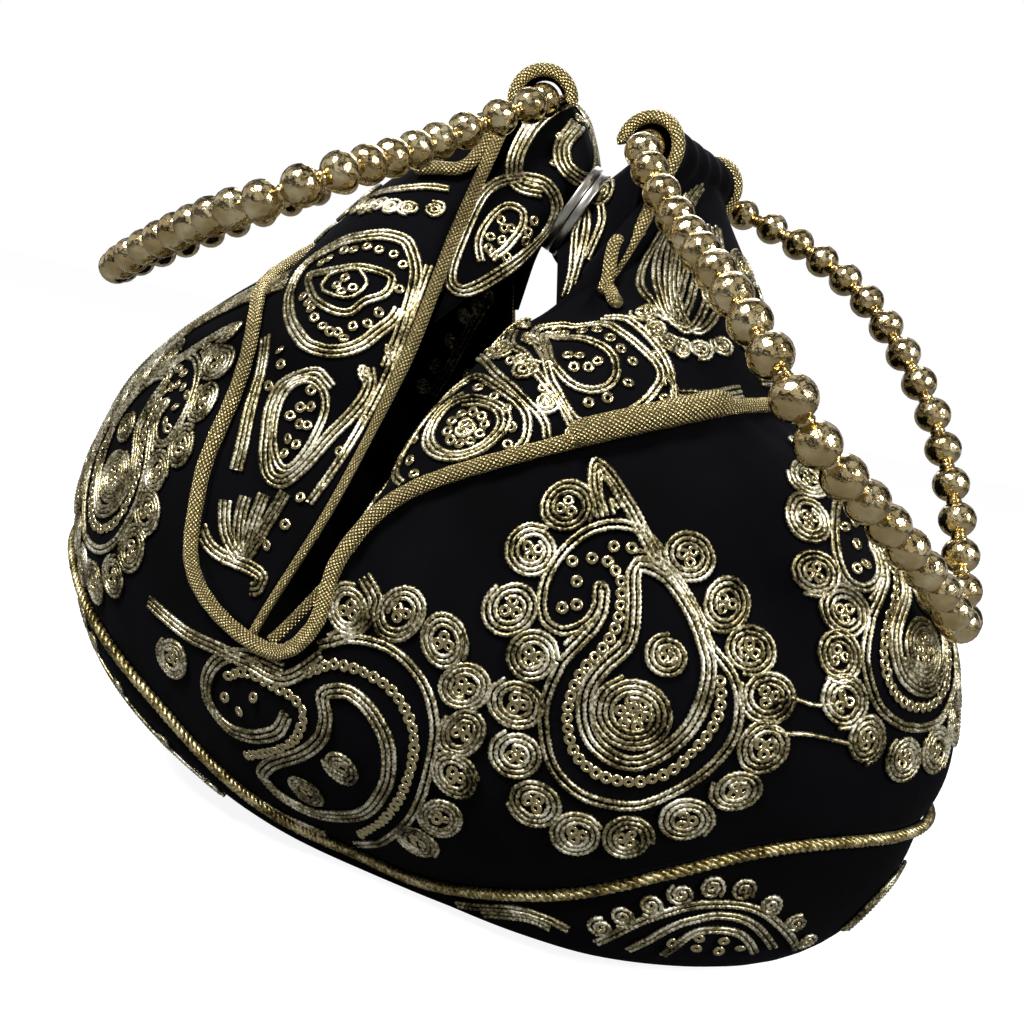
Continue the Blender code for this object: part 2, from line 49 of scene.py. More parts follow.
SEAM_PATH = [(-180, 54), (-155, 50), (-140, 42), (-128, 30), (-115, 16), (-100, 7), (-80, 6),
             (-62, 17), (-50, 31), (-38, 40), (-20, 45), (0, 47), (25, 44), (45, 34), (60, 18),
             (80, 7), (100, 7), (118, 18), (132, 33), (150, 48)]
RIM_PATH = [(-180, 138), (-160, 134), (-143, 126), (-127, 115), (-118, 100), (-115, 80), (-113, 64),
            (-107, 56), (-99, 54), (-95, 62), (-94, 76), (-90, 90), (-82, 100), (-70, 109),
            (-55, 116), (-38, 121), (-18, 123), (5, 123), (30, 121), (52, 115), (70, 107), (84, 95),
            (91, 76), (99, 65), (107, 70), (114, 90), (126, 112), (143, 127), (162, 135)]


def spline_value(a, b, c, d, f):
    return 0.5 * ((2 * b) + (c - a) * f + (2 * a - 5 * b + 4 * c - d) * f * f
                  + (3 * b - a - 3 * c + d) * f ** 3)


def catmull(points, s, closed=False):
    """Smooth curve through the points; s runs from 0 to 1."""
    count = len(points)
    spans = count if closed else count - 1
    place = s * spans
    k = min(int(math.floor(place)), spans - 1)
    if closed:
        a, b, c, d = (points[(k + j) % count] for j in (-1, 0, 1, 2))
    else:
        a, b, c, d = (points[max(0, min(count - 1, k + j))] for j in (-1, 0, 1, 2))
    return spline_value(a, b, c, d, place - k)


def ring_point(path, s):
    """Bearing and height at share s of a closed path round the sack."""
    count = len(path)
    place = s * count
    k = math.floor(place)
    a, b, c, d = (Vector(path[(k + j) % count]) + Vector((360, 0)) * ((k + j) // count)
                  for j in (-1, 0, 1, 2))
    p = spline_value(a, b, c, d, place - k)
    return p.x, p.y


def share_at(path, bearing):
    low, high = 0.0, 1.0
    for _ in range(30):
        mid = 0.5 * (low + high)
        if ring_point(path, mid)[0] < bearing:
            low = mid
        else:
            high = mid
    return low


def sack(bearing, height, inside=0.0):
    """Point of the sack's outer surface, in millimetres."""
    t = math.radians(bearing)
    reach = BELLY_DROP
    if height >= BELLY:
        reach = 0.5 * (SHOULDER_RIGHT + SHOULDER_LEFT) + 0.5 * (SHOULDER_RIGHT - SHOULDER_LEFT) * math.cos(t)
    rise = (height - BELLY) / (reach - inside)
    k = math.sqrt(max(0.0, 1.0 - rise * rise))
    return Vector(((HALF_LENGTH - inside) * k * math.cos(t), (HALF_DEPTH - inside) * k * math.sin(t), height))


def sack_normal(bearing, height):
    across = sack(bearing + 0.5, height) - sack(bearing - 0.5, height)
    up = sack(bearing, height + 0.5) - sack(bearing, height - 0.5)
    return across.cross(up).normalized()


def soft_wall(bearing, height):
    """The sack with the slight hollows and swells of filled velvet."""
    t = math.radians(bearing)
    swell = (0.7 * math.sin(5 * t + height * 0.045) + 0.45 * math.sin(9 * t - height * 0.08 + 1.0)
             + 0.35 * math.sin(height * 0.16 + 3 * t))
    return sack(bearing, height) + sack_normal(bearing, height) * swell


def seam_point(u):
    bearing = SEAM_FOLLOW * ring_point(RIM_PATH, u)[0] + (1 - SEAM_FOLLOW) * (360 * u - 180)
    return bearing, ring_point(SEAM_PATH, share_at(SEAM_PATH, bearing))[1]


def base_surface(bearing, v):
    """Bowl of the base: v runs from 0 at the flat foot to 1 at the seam."""
    t = math.radians(bearing)
    low_seam = sack(90, ring_point(SEAM_PATH, share_at(SEAM_PATH, 90))[1])
    foot = Vector((14 + 56 * math.cos(t), (low_seam.y - 3.8) * math.sin(t), 0.0))
    seam_z = ring_point(SEAM_PATH, share_at(SEAM_PATH, bearing))[1] - 0.4
    edge = soft_wall(bearing, seam_z)
    turn = math.pi / 2 * v
    right = 0.5 + 0.5 * math.cos(t)
    point = foot.lerp(edge, math.sin(turn) ** (1 / (0.5 + 0.6 * right)))
    point.z = seam_z * (1 - math.cos(turn))
    return point


def srgb(text):
    """Linear colour from a hex colour as seen on screen."""
    out = []
    for i in (1, 3, 5):
        c = int(text[i:i + 2], 16) / 255
        out.append(c / 12.92 if c <= 0.04045 else ((c + 0.055) / 1.055) ** 2.4)
    return (*out, 1.0)


def add(tree, kind, links=None, **values):
    """One shader node: values set its options or sockets, links joins its sockets."""
    node = tree.nodes.new(kind)
    for key, value in values.items():
        if hasattr(node, key):
            setattr(node, key, value)
        else:
            node.inputs[key.replace("_", " ")].default_value = value
    for key, source in (links or {}).items():
        tree.links.new(source, node.inputs[key])
    return node


def finish_material(name, colour, roughness, metallic=0.0):
    mat = bpy.data.materials.new(name)
    mat.use_nodes = True
    shader = mat.node_tree.nodes["Principled BSDF"]
    shader.inputs["Base Color"].default_value = colour
    shader.inputs["Roughness"].default_value = roughness
    shader.inputs["Metallic"].default_value = metallic
    return mat, mat.node_tree, shader


def ramp(tree, source, stops):
    node = add(tree, "ShaderNodeValToRGB", {"Fac": source})
    while len(node.color_ramp.elements) < len(stops):
        node.color_ramp.elements.new(0.5)
    for element, (place, colour) in zip(node.color_ramp.elements, stops):
        element.position = place
        element.color = colour
    return node.outputs["Color"]


# Black velvet: deep, with a thin bluish bloom at grazing angles, the pile brushed in faint patches.
def velvet_material():
    mat, tree, shader = finish_material("black_velvet", srgb("#030304"), 0.95)
    where = add(tree, "ShaderNodeTexCoord").outputs["Object"]
    patches = add(tree, "ShaderNodeTexNoise", {"Vector": where}, Scale=38.0, Detail=3.0)
    tone = ramp(tree, patches.outputs["Fac"], [(0.35, srgb("#010102")), (0.7, srgb("#050508"))])
    tree.links.new(tone, shader.inputs["Base Color"])
    pile = add(tree, "ShaderNodeTexNoise", {"Vector": where}, Scale=2400.0, Detail=2.0)
    creases = add(tree, "ShaderNodeTexNoise", {"Vector": where}, Scale=55.0, Detail=4.0, Distortion=0.6)
    small = add(tree, "ShaderNodeBump", {"Height": pile.outputs["Fac"]}, Strength=0.35, Distance=0.0002)
    large = add(tree, "ShaderNodeBump", {"Height": creases.outputs["Fac"], "Normal": small.outputs["Normal"]},
                Strength=0.35, Distance=0.0016)
    tree.links.new(large.outputs["Normal"], shader.inputs["Normal"])
    shader.inputs["Specular IOR Level"].default_value = 0.06
    shader.inputs["Sheen Weight"].default_value = 0.013
    shader.inputs["Sheen Roughness"].default_value = 0.35
    shader.inputs["Sheen Tint"].default_value = srgb("#8f97b8")
    return mat


velvet = velvet_material()


def piece(name, data, mat, body, slot, *nodes):
    """Put one finished piece on its body, in place of the CAD nodes it stands for."""
    obj = bpy.data.objects.new(name, data)
    bpy.context.scene.collection.objects.link(obj)
    data.materials.append(mat)
    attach(obj, body)
    if nodes:
        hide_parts(*nodes)
    return obj


def cloth(name, place, columns, rows, thick, mat, slot, nodes, ring=False, floor=False):
    """Sheet of cloth with a thickness, laid by place(u, v) in millimetres."""
    bm = bmesh.new()
    bmesh.ops.create_grid(bm, x_segments=columns, y_segments=rows, size=0.5)
    for v in bm.verts:
        v.co = place(v.co.x + 0.5, v.co.y + 0.5) * MM
    if ring:
        bmesh.ops.remove_doubles(bm, verts=bm.verts, dist=0.01 * MM)
    if floor:
        low = min(v.co.z for v in bm.verts)
        rim_edges = [e for e in bm.edges if e.is_boundary and all(v.co.z < low + 0.1 * MM for v in e.verts)]
        for face in bmesh.ops.contextual_create(bm, geom=rim_edges)["faces"]:
            face.normal_update()
            if face.normal.z > 0:
                face.normal_flip()
    mesh = bpy.data.meshes.new(name)
    bm.to_mesh(mesh)
    bm.free()
    mesh.shade_smooth()
    obj = piece(name, mesh, mat, "bag", slot, *nodes)
    solid = obj.modifiers.new("thickness", "SOLIDIFY")
    solid.thickness = thick * MM
    solid.offset = -1.0
    solid.use_even_offset = False
    return obj


def base_place(u, v):
    return base_surface(seam_point(u)[0], v)


cloth("base_velvet", base_place, 160, 16, VELVET, velvet, "velvet", ["base_panel"], ring=True, floor=True)

# Board and lining
# A stiff oval of grey board lies in the bottom, and a sack of black satin hangs inside the velvet.
# Both keep their CAD shapes, since only the lining's upper edge can be glimpsed in the slits.


def satin_material():
    mat, tree, shader = finish_material("black_satin", srgb("#15151a"), 0.42)
    where = add(tree, "ShaderNodeTexCoord").outputs["Object"]
    threads = add(tree, "ShaderNodeTexWave", {"Vector": where}, Scale=900.0, Distortion=1.5)
    bump = add(tree, "ShaderNodeBump", {"Height": threads.outputs["Fac"]}, Strength=0.15, Distance=0.0002)
    tree.links.new(bump.outputs["Normal"], shader.inputs["Normal"])
    return mat


def board_material():
    mat, tree, shader = finish_material("grey_board", srgb("#7d766a"), 0.9)
    where = add(tree, "ShaderNodeTexCoord").outputs["Object"]
    fibre = add(tree, "ShaderNodeTexNoise", {"Vector": where}, Scale=300.0, Detail=5.0)
    tone = ramp(tree, fibre.outputs["Fac"], [(0.3, srgb("#6d675c")), (0.7, srgb("#8d8678"))])
    tree.links.new(tone, shader.inputs["Base Color"])
    return mat


for node, mat in (("lining", satin_material()), ("base_board", board_material())):
    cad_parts[node].data.materials.clear()
    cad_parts[node].data.materials.append(mat)

# Body wall
# One long panel of the same velvet, from the base seam to the rim, with its low dips at the two slits.
# Its top edge turns out a little where it is stitched, and it draws in slightly just under the braid.
SEAM_PART = 0.4
PUCKERS = 46


def rim_frame(s):
    """Point, outward normal and in-cloth direction towards the yoke at share s of the rim."""
    t, z = ring_point(RIM_PATH, s)
    ahead = sack(*ring_point(RIM_PATH, s + 0.003)) - sack(*ring_point(RIM_PATH, s - 0.003))
    normal = sack_normal(t, z)
    return soft_wall(t, z), normal, normal.cross(ahead).normalized()


def wall_place(u, v):
    seam_t, seam_z = seam_point(u)
    rim_t, rim_z = ring_point(RIM_PATH, u)
    low = seam_z + SEAM_PART
    t = seam_t + (rim_t - seam_t) * v
    z = low + (rim_z - low) * v
    point = soft_wall(t, z)
    if v > 0.999:
        edge, normal, up = rim_frame(u)
        return edge - up * SEAM_PART
    pucker = math.exp(-((1 - v) / 0.07) ** 2) * (0.5 + 0.35 * math.sin(2 * math.pi * PUCKERS * u))
    return point - sack_normal(t, z) * pucker


cloth("wall_velvet", wall_place, 300, 44, VELVET, velvet, "velvet", ["body_wall"], ring=True)

# Base piping
# A gold cord of three strands twisted together, about 2.6 mm thick, sewn in the bottom seam all round.
# Its strands are metal foil wound on cotton: bright on the crowns, brown in the grooves, a little tarnished, with
# painted shade and painted highlight speckled into the colour.
PIPE_STRAND = 0.7
PIPE_LAY = 0.6
PIPE_PITCH = 4.2


def gold_thread_material(name, dark, mid, light, grain):
    """Metal-wrapped thread: sparkling, uneven, a little tarnished in patches, its colour speckled with painted shade
    and painted highlight.
    """
    mat, tree, shader = finish_material(name, mid, 0.36, 0.88)
    where = add(tree, "ShaderNodeTexCoord").outputs["Object"]
    tarnish_and_painted_shade = add(tree, "ShaderNodeTexNoise", {"Vector": where}, Scale=140.0, Detail=3.0)
    foil = add(tree, "ShaderNodeTexNoise", {"Vector": where}, Scale=grain, Detail=2.0)
    mix = add(tree, "ShaderNodeMath", {0: tarnish_and_painted_shade.outputs["Fac"], 1: foil.outputs["Fac"]}, operation="ADD")
    half = add(tree, "ShaderNodeMath", {0: mix.outputs[0]}, operation="MULTIPLY")
    half.inputs[1].default_value = 0.5
    # The dark and light stops are painted shade and painted highlight speckle, laid over real tarnish and foil grain.
    tone = ramp(tree, half.outputs[0], [(0.39, dark), (0.5, mid), (0.6, light)])
    tree.links.new(tone, shader.inputs["Base Color"])
    rough = add(tree, "ShaderNodeMapRange", {"Value": foil.outputs["Fac"]}, To_Min=0.22, To_Max=0.52)
    tree.links.new(rough.outputs["Result"], shader.inputs["Roughness"])
    bump = add(tree, "ShaderNodeBump", {"Height": foil.outputs["Fac"]}, Strength=0.6, Distance=0.0002)
    tree.links.new(bump.outputs["Normal"], shader.inputs["Normal"])
    return mat


# The darkest and lightest tones here are painted shade and painted highlight.
pipe_gold = gold_thread_material("twisted_gold_piping", srgb("#332a14"), srgb("#877848"), srgb("#d6ca9c"), 1500.0)


def cord_curve(name, runs, radius, sides_step):
    """Curve object data: each run is (points in mm, radii, closed)."""
    curve = bpy.data.curves.new(name, "CURVE")
    curve.dimensions = "3D"
    curve.bevel_depth = radius * MM
    curve.bevel_resolution = sides_step
    curve.use_fill_caps = True
    for points, radii, closed in runs:
        spline = curve.splines.new("POLY")
        spline.points.add(len(points) - 1)
        flat = []
        for p in points:
            flat += [p.x * MM, p.y * MM, p.z * MM, 1.0]
        spline.points.foreach_set("co", flat)
        spline.points.foreach_set("radius", radii)
        spline.use_cyclic_u = closed
        spline.use_smooth = True
    return curve


def as_mesh(name, curve):
    """Mesh of a curve object, with its UV map: u along the cord, v round it."""
    obj = bpy.data.objects.new(name, curve)
    bpy.context.scene.collection.objects.link(obj)
    bpy.context.view_layer.update()
    mesh = bpy.data.meshes.new_from_object(obj.evaluated_get(bpy.context.evaluated_depsgraph_get()))
    bpy.data.objects.remove(obj)
    bpy.data.curves.remove(curve)
    mesh.name = name
    mesh.shade_smooth()
    return mesh


def even(points, step, closed=False):
    """The same line with points at even steps, and its length."""
    pts = list(points) + ([points[0]] if closed else [])
    runs = [0.0]
    for a, b in zip(pts, pts[1:]):
        runs.append(runs[-1] + (b - a).length)
    count = max(3, round(runs[-1] / step))
    out, k = [], 0
    for i in range(count if closed else count + 1):
        want = runs[-1] * i / count
        while k < len(runs) - 2 and runs[k + 1] < want:
            k += 1
        f = (want - runs[k]) / max(1e-9, runs[k + 1] - runs[k])
        out.append(pts[k].lerp(pts[k + 1], f))
    return out, runs[-1]


def rope(path, normals, closed, strands, lay, pitch, length):
    """Strands that wind round a path."""
    count = len(path)
    turns = round(length / pitch)
    runs = []
    for n in range(strands):
        points = []
        for i in range(count):
            ahead = path[(i + 1) % count] - path[i - 1] if closed or 0 < i < count - 1 else (
                path[min(i + 1, count - 1)] - path[max(i - 1, 0)])
            side = ahead.cross(normals[i]).normalized()
            a = 2 * math.pi * (turns * i / count + n / strands)
            points.append(path[i] + (normals[i] * math.cos(a) + side * math.sin(a)) * lay)
        runs.append((points, [1.0] * count, closed))
    return runs


def base_piping():
    path, normals = [], []
    count = 900
    for i in range(count):
        t, z = seam_point(i / count)
        normal = sack_normal(t, z)
        path.append(soft_wall(t, z) + normal * 1.3)
        normals.append(normal)
    length = sum((path[i] - path[i - 1]).length for i in range(count))
    runs = rope(path, normals, True, 3, PIPE_LAY, PIPE_PITCH, length)
    curve = cord_curve("base_piping_rope", runs, PIPE_STRAND, 1)
    return piece("base_piping_rope", curve, pipe_gold, "bag", "gold_cord", "base_piping")


base_piping()

# Rim piping
# Gold braid sewn in the seam between wall and yokes: a woven tube about 3.4 mm thick over a soft core.
# Its weave is a fine basket of flat foil threads, brighter than the twisted piping and rather pinker.
RIM_PIPE = 1.75
WEAVE = 1.05


def braid_material(name, length, girth):
    """Woven braid: over-and-under cells of about one millimetre, from the tube's own UV map, with painted shade in the
    sunken gaps between cells and painted highlight on their crowns.
    """
    mat, tree, shader = finish_material(name, srgb("#a08d58"), 0.38, 0.88)
    uv = add(tree, "ShaderNodeUVMap").outputs["UV"]
    around = max(4, round(girth / WEAVE))
    scaled = add(tree, "ShaderNodeMapping", {"Vector": uv})
    scaled.inputs["Scale"].default_value = (round(length / WEAVE), around, 1.0)
    parts = add(tree, "ShaderNodeSeparateXYZ", {"Vector": scaled.outputs["Vector"]})
    x, y = parts.outputs["X"], parts.outputs["Y"]
    left = add(tree, "ShaderNodeMath", {0: x, 1: y}, operation="ADD").outputs[0]
    right = add(tree, "ShaderNodeMath", {0: x, 1: y}, operation="SUBTRACT").outputs[0]

    def wave(source):
        angle = add(tree, "ShaderNodeMath", {0: source}, operation="MULTIPLY")
        angle.inputs[1].default_value = math.pi
        return add(tree, "ShaderNodeMath", {0: angle.outputs[0]}, operation="SINE").outputs[0]

    cells = add(tree, "ShaderNodeMath", {0: wave(left), 1: wave(right)}, operation="MULTIPLY").outputs[0]
    height = add(tree, "ShaderNodeMath", {0: cells}, operation="ABSOLUTE").outputs[0]
    where = add(tree, "ShaderNodeTexCoord").outputs["Object"]
    foil = add(tree, "ShaderNodeTexNoise", {"Vector": where}, Scale=1300.0, Detail=3.0)
    mixed = add(tree, "ShaderNodeMath", {0: height, 1: foil.outputs["Fac"]}, operation="MULTIPLY").outputs[0]
    # Painted shade where the cells sink and painted highlight on their crowns, speckled by the foil grain.
    tone = ramp(tree, mixed, [(0.0, srgb("#2e2612")), (0.2, srgb("#a08d56")), (0.5, srgb("#ead9a6"))])
    tree.links.new(tone, shader.inputs["Base Color"])
    bump = add(tree, "ShaderNodeBump", {"Height": mixed}, Strength=1.0, Distance=0.0007)
    tree.links.new(bump.outputs["Normal"], shader.inputs["Normal"])
    return mat


def braid_piece(name, points, radii, closed, nodes):
    """One run of braid along points in mm, with its weave laid along it."""
    length = sum((b - a).length for a, b in zip(points, points[1:]))
    thick = max(radii)
    curve = cord_curve(name, [(points, [r / thick for r in radii], closed)], thick, 3)
    mesh = as_mesh(name, curve)
    mat = braid_material(name + "_weave", length, 2 * math.pi * thick)
    return piece(name, mesh, mat, "bag", "gold_cord", *nodes)


def rim_piping():
    points, radii = [], []
    count = 560
    for i in range(count):
        s = i / count
        edge, normal, up = rim_frame(s)
        points.append(edge + normal * 1.3)
        radii.append(RIM_PIPE * (0.92 + 0.03 * math.sin(i * 0.9)))
    braid_piece("rim_piping_braid", points, radii, True, ["rim_piping"])
    lap = []
    low, high = share_at(RIM_PATH, -72), share_at(RIM_PATH, -44)
    for i in range(41):
        edge, normal, up = rim_frame(low + (high - low) * i / 40)
        lap.append(edge + normal * 2.7 + up * 0.6)
    lap, length = even(lap, 1.2)
    count = len(lap) - 1
    swell = [2.8 * min(1.0, 0.72 + 0.28 * min(i, count - i) / 2) for i in range(count + 1)]
    braid_piece("rim_braid_overlap", lap, swell, False, [])


rim_piping()

# Yokes
# Two top pieces of the same velvet, each folded over at its top to make the casing of one handle.
# The left one stands up; the right one's front part has slumped forward and folds over at the slit.
YOKE_CLOTH = 1.5
BRAID = 1.5
CASING = 6.7
LEFT_ENDS = (Vector((-9, -10, 179)), Vector((-24, 29, 188)))
RIGHT_ENDS = (Vector((19, -12, 172)), Vector((24, 33, 174)))
SNAP = Vector((3, -5, 157))
SNAP_LEAN, SNAP_TURN = math.radians(23), math.radians(19)
SNAP_AXIS = Vector((math.cos(SNAP_TURN) * math.cos(SNAP_LEAN), math.sin(SNAP_TURN) * math.cos(SNAP_LEAN),
                    -math.sin(SNAP_LEAN)))
SNAP_ALONG = Vector((-math.sin(SNAP_TURN), math.cos(SNAP_TURN), 0.0))
SNAP_UP = SNAP_AXIS.cross(SNAP_ALONG)
FACE_SHARE, CASING_SHARE = 0.5, 0.78


class Yoke:
    """Outer face from the rim up, round the casing, and the inner face down past the snap."""

    def __init__(self, side, ends, ribs, shares, gathers, flap):
        self.side = side
        self.front, self.back = ends
        self.ribs = [[Vector(p) for p in rib] for rib in ribs]
        self.shares = [Vector((x, 0)) for x in shares]
        self.gathers = gathers
        self.flap = flap
        self.along = (self.back - self.front).normalized()
        self.out = Vector((side, 0, 0)) - self.along * (self.along.x * side)
        self.out.normalize()
        self.up = Vector((0, 0, 1)) - self.along * self.along.z
        self.up = (self.up - self.out * self.up.dot(self.out)).normalized()

    def ring(self, q, degrees):
        a = math.radians(degrees)
        crumple = 1 + 0.05 * math.sin(self.gathers * 2 * math.pi * q) * math.cos(a)
        return self.front.lerp(self.back, q) + (self.out * math.cos(a) + self.up * math.sin(a)) * CASING * crumple

    def face(self, q, s):
        columns = [catmull(rib, s) for rib in self.ribs]
        point = catmull(columns, q)
        edge, normal, up = rim_frame(catmull(self.shares, q).x)
        foot = edge + up * 0.6 - normal * 0.3
        base = catmull([rib[0] for rib in self.ribs], q)
        head = catmull([rib[-1] for rib in self.ribs], q)
        fade = max(0.0, 1 - s / 0.5)
        point = point + (foot - base) * fade * fade + (self.ring(q, -15) - head) * s ** 3
        wave = math.sin(2 * math.pi * self.gathers * q) * 1.1 * math.sin(math.pi * s) * s
        return point + self.out * wave

    def plane(self, w, s):
        low, high = self.flap
        return SNAP + SNAP_AXIS * (self.side * 2.7) + SNAP_ALONG * w - SNAP_UP * (low + (high - low) * s)

    def inner(self, q, s):
        """Inner face: sewn in along both slit edges and drawn out to the snap between them."""
        start = self.ring(q, 175)
        front = self.face(0.0, 1 - 0.42 * s) - self.out * 3.0 + self.along * 2.0
        back = self.face(1.0, 1 - 0.42 * s) - self.out * 3.0 - self.along * 2.0
        near, far = self.plane(-7.5, s), self.plane(12.5, s)
        share = q / 0.9 if q < 0.3 else (
            (q - 0.3) / 1.35 + 1 / 3 if q < 0.75 else (q - 0.75) / 0.75 + 2 / 3)
        sheet = catmull([front, near, far, back], min(1.0, share))
        blend = min(1.0, s / 0.4)
        return start.lerp(sheet, blend * blend * (3 - 2 * blend))

    def place(self, q, v):
        if v < FACE_SHARE:
            return self.face(q, v / FACE_SHARE)
        if v < CASING_SHARE:
            return self.ring(q, -15 + 190 * (v - FACE_SHARE) / (CASING_SHARE - FACE_SHARE))
        return self.inner(q, (v - CASING_SHARE) / (1 - CASING_SHARE))


LEFT_RIBS = [
    [(-28, -63, 56), (-17, -57, 85), (-15, -42, 114), (-17, -26, 146), (-17, -12, 176)],
    [(-42, -52, 100), (-37, -45, 118), (-32, -34, 138), (-26, -20, 160), (-18, -8, 178)],
    [(-62, -12, 133), (-51, -11, 147), (-40, -8, 160), (-30, -3, 172), (-22, 4, 181)],
    [(-50, 32, 124), (-44, 30, 142), (-38, 28, 157), (-33, 24, 172), (-28, 18, 184)],
    [(-16, 61, 66), (-19, 54, 94), (-25, 45, 124), (-29, 36, 156), (-31, 28, 185)],
]
RIGHT_RIBS = [
    [(-11, -61, 57), (-2, -42, 92), (10, -26, 118), (19, -17, 146), (26, -12, 170)],
    [(-4, -61, 88), (-4, -48, 104), (3, -33, 124), (12, -24, 137), (26, -11, 170)],
    [(14, -56, 106), (15, -48, 114), (14, -40, 123), (14, -30, 133), (26, -11, 170)],
    [(42, -39, 115), (36, -35, 125), (27, -32, 132), (20, -28, 137), (26, -10, 170)],
    [(45, -36, 116), (40, -27, 128), (33, -21, 142), (29, -14, 157), (27, -5, 171)],
    [(54, -18, 122), (48, -12, 135), (41, -5, 149), (33, 3, 162), (29, 8, 172)],
    [(60, 15, 122), (52, 17, 136), (44, 18, 150), (36, 19, 163), (31, 20, 172)],
    [(30, 52, 112), (28, 46, 126), (27, 40, 142), (29, 34, 158), (31, 29, 173)],
    [(-8, 61, 68), (-2, 52, 94), (8, 45, 122), (20, 38, 150), (32, 33, 173)],
]


def rim_share(bearing, wrap=0):
    return share_at(RIM_PATH, bearing) + wrap


left_yoke = Yoke(-1, LEFT_ENDS, LEFT_RIBS,
                 [rim_share(-103.5), rim_share(-118), rim_share(-160), rim_share(145, -1), rim_share(101.5, -1)],
                 4, (-17.5, 11))
right_yoke = Yoke(1, RIGHT_ENDS, RIGHT_RIBS,
                  [rim_share(-100.5), rim_share(-90), rim_share(-80), rim_share(-58), rim_share(-54),
                   rim_share(-35), rim_share(15), rim_share(62), rim_share(98.5)], 5, (-17.5, 11))
cloth("yoke_left_velvet", lambda u, v: left_yoke.place(1 - u, v), 60, 90, YOKE_CLOTH, velvet, "velvet",
      ["yoke_left"])
cloth("yoke_right_velvet", lambda u, v: right_yoke.place(u, v), 84, 90, YOKE_CLOTH, velvet, "velvet",
      ["yoke_right"])

# Edge braids
# The same gold braid binds both slit edges of each yoke and runs on round the mouth of each casing.
# It is 3 mm thick, folded over the raw edge, and ends at the inner face behind the snap.


def edge_braid(name, shape, q, node, low=BRAID):
    inner_q = q + 0.06 if q < 0.5 else q - 0.06
    points = []
    count = 150
    for i in range(count + 1):
        v = 0.002 + (CASING_SHARE + 0.008) * i / count
        here = shape.place(q, v)
        run = (shape.place(q, min(1.0, v + 0.01)) - shape.place(q, max(0.0, v - 0.01))).normalized()
        away = here - shape.place(inner_q, v)
        away = (away - run * away.dot(run)).normalized()
        points.append(here + away * 0.6)
    points, length = even(points, 1.2)
    count = len(points)
    radii = [low + (BRAID - low) * min(1.0, max(0.0, (i / count - 0.3) / 0.12)) for i in range(count)]
    braid_piece(name, points, radii, False, [node])


edge_braid("edge_braid_left_front", left_yoke, 0.0, "braid_left_front", 0.95)
edge_braid("edge_braid_left_back", left_yoke, 1.0, "braid_left_back")
edge_braid("edge_braid_right_front", right_yoke, 0.0, "braid_right_front")
edge_braid("edge_braid_right_back", right_yoke, 1.0, "braid_right_back")


def braid_tail(name, surface, shares, lift):
    """Loose end of braid that lies over the cloth."""
    points = []
    fine = [catmull([Vector(p) for p in shares], i / 24) for i in range(25)]
    for k, p in enumerate(fine):
        across = surface(p.x + 0.01, p.y) - surface(p.x - 0.01, p.y)
        normal = across.cross(surface(p.x, p.y + 0.01) - surface(p.x, p.y - 0.01)).normalized()
        points.append(surface(p.x, p.y) + normal * lift)
    points, length = even(points, 1.2)
    braid_piece(name, points, [BRAID * (1.0 if k < len(points) - 1 else 0.8) for k in range(len(points))], False, [])


braid_tail("braid_tail_left", left_yoke.face, [(0.02, 0.90), (0.05, 0.85), (0.13, 0.80), (0.228, 0.731), (0.30, 0.665)],
           -1.9)
braid_tail("braid_tail_right", right_yoke.face, [(0.06, 0.86), (0.18, 0.85), (0.30, 0.80), (0.385, 0.75), (0.40, 0.62)],
           1.9)

# Magnetic snap
# Two pressed discs of nickel-plated steel, each 22 mm across with a rolled edge, meeting face to face.
# The plating is bright but brushed round the edge, with fine rubs; washers hold them behind the cloth.
SNAP_RADIUS, SNAP_PLATE = 11.0, 1.9


def nickel_material():
    mat, tree, shader = finish_material("nickel_plated_steel", srgb("#aeaca7"), 0.24, 1.0)
    where = add(tree, "ShaderNodeTexCoord").outputs["Object"]
    rubs = add(tree, "ShaderNodeTexNoise", {"Vector": where}, Scale=260.0, Detail=5.0)
    rough = add(tree, "ShaderNodeMapRange", {"Value": rubs.outputs["Fac"]}, To_Min=0.16, To_Max=0.42)
    tree.links.new(rough.outputs["Result"], shader.inputs["Roughness"])
    return mat


nickel = nickel_material()


def disc(name, profile, place, node):
    bm = bmesh.new()
    verts = [bm.verts.new((r * MM, 0, z * MM)) for r, z in profile]
    edges = [bm.edges.new(pair) for pair in zip(verts, verts[1:])]
    bmesh.ops.spin(bm, geom=verts + edges, cent=(0, 0, 0), axis=(0, 0, 1), angle=2 * math.pi, steps=64,
                   use_merge=True, use_duplicate=False)
    bmesh.ops.remove_doubles(bm, verts=bm.verts, dist=0.01 * MM)
    bmesh.ops.recalc_face_normals(bm, faces=bm.faces)
    bmesh.ops.transform(bm, matrix=place, verts=bm.verts)
    mesh = bpy.data.meshes.new(name)
    bm.to_mesh(mesh)
    bm.free()
    mesh.shade_smooth()
    mesh.set_sharp_from_angle(angle=math.radians(50))
    piece(name, mesh, nickel, "bag", "nickel_steel", node)


def snap():
    turn = Matrix((SNAP_ALONG, SNAP_UP, SNAP_AXIS)).transposed().to_4x4()

    def placed(offset, flip):
        half = Matrix.Rotation(math.pi, 4, "X") if flip else Matrix.Identity(4)
        return Matrix.Translation((SNAP + SNAP_AXIS * offset) * MM) @ turn @ half

    r, p = SNAP_RADIUS, SNAP_PLATE
    rolled = [(0, -p), (r - 0.4, -p), (r - 0.1, -p + 0.1), (r, -p + 0.3), (r, -0.12), (r - 0.12, 0), (r - 1.0, 0)]
    disc("snap_stud_disc", rolled + [(3, 0), (2.6, 1), (0, 1)], placed(-0.15, False), "snap_stud")
    disc("snap_socket_disc", rolled + [(3.3, 0), (3.3, -1.3), (0, -1.3)], placed(0.15, True), "snap_socket")


snap()
for node in ("snap_washer_left", "snap_washer_right"):
    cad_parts[node].data.materials.clear()
    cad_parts[node].data.materials.append(nickel)

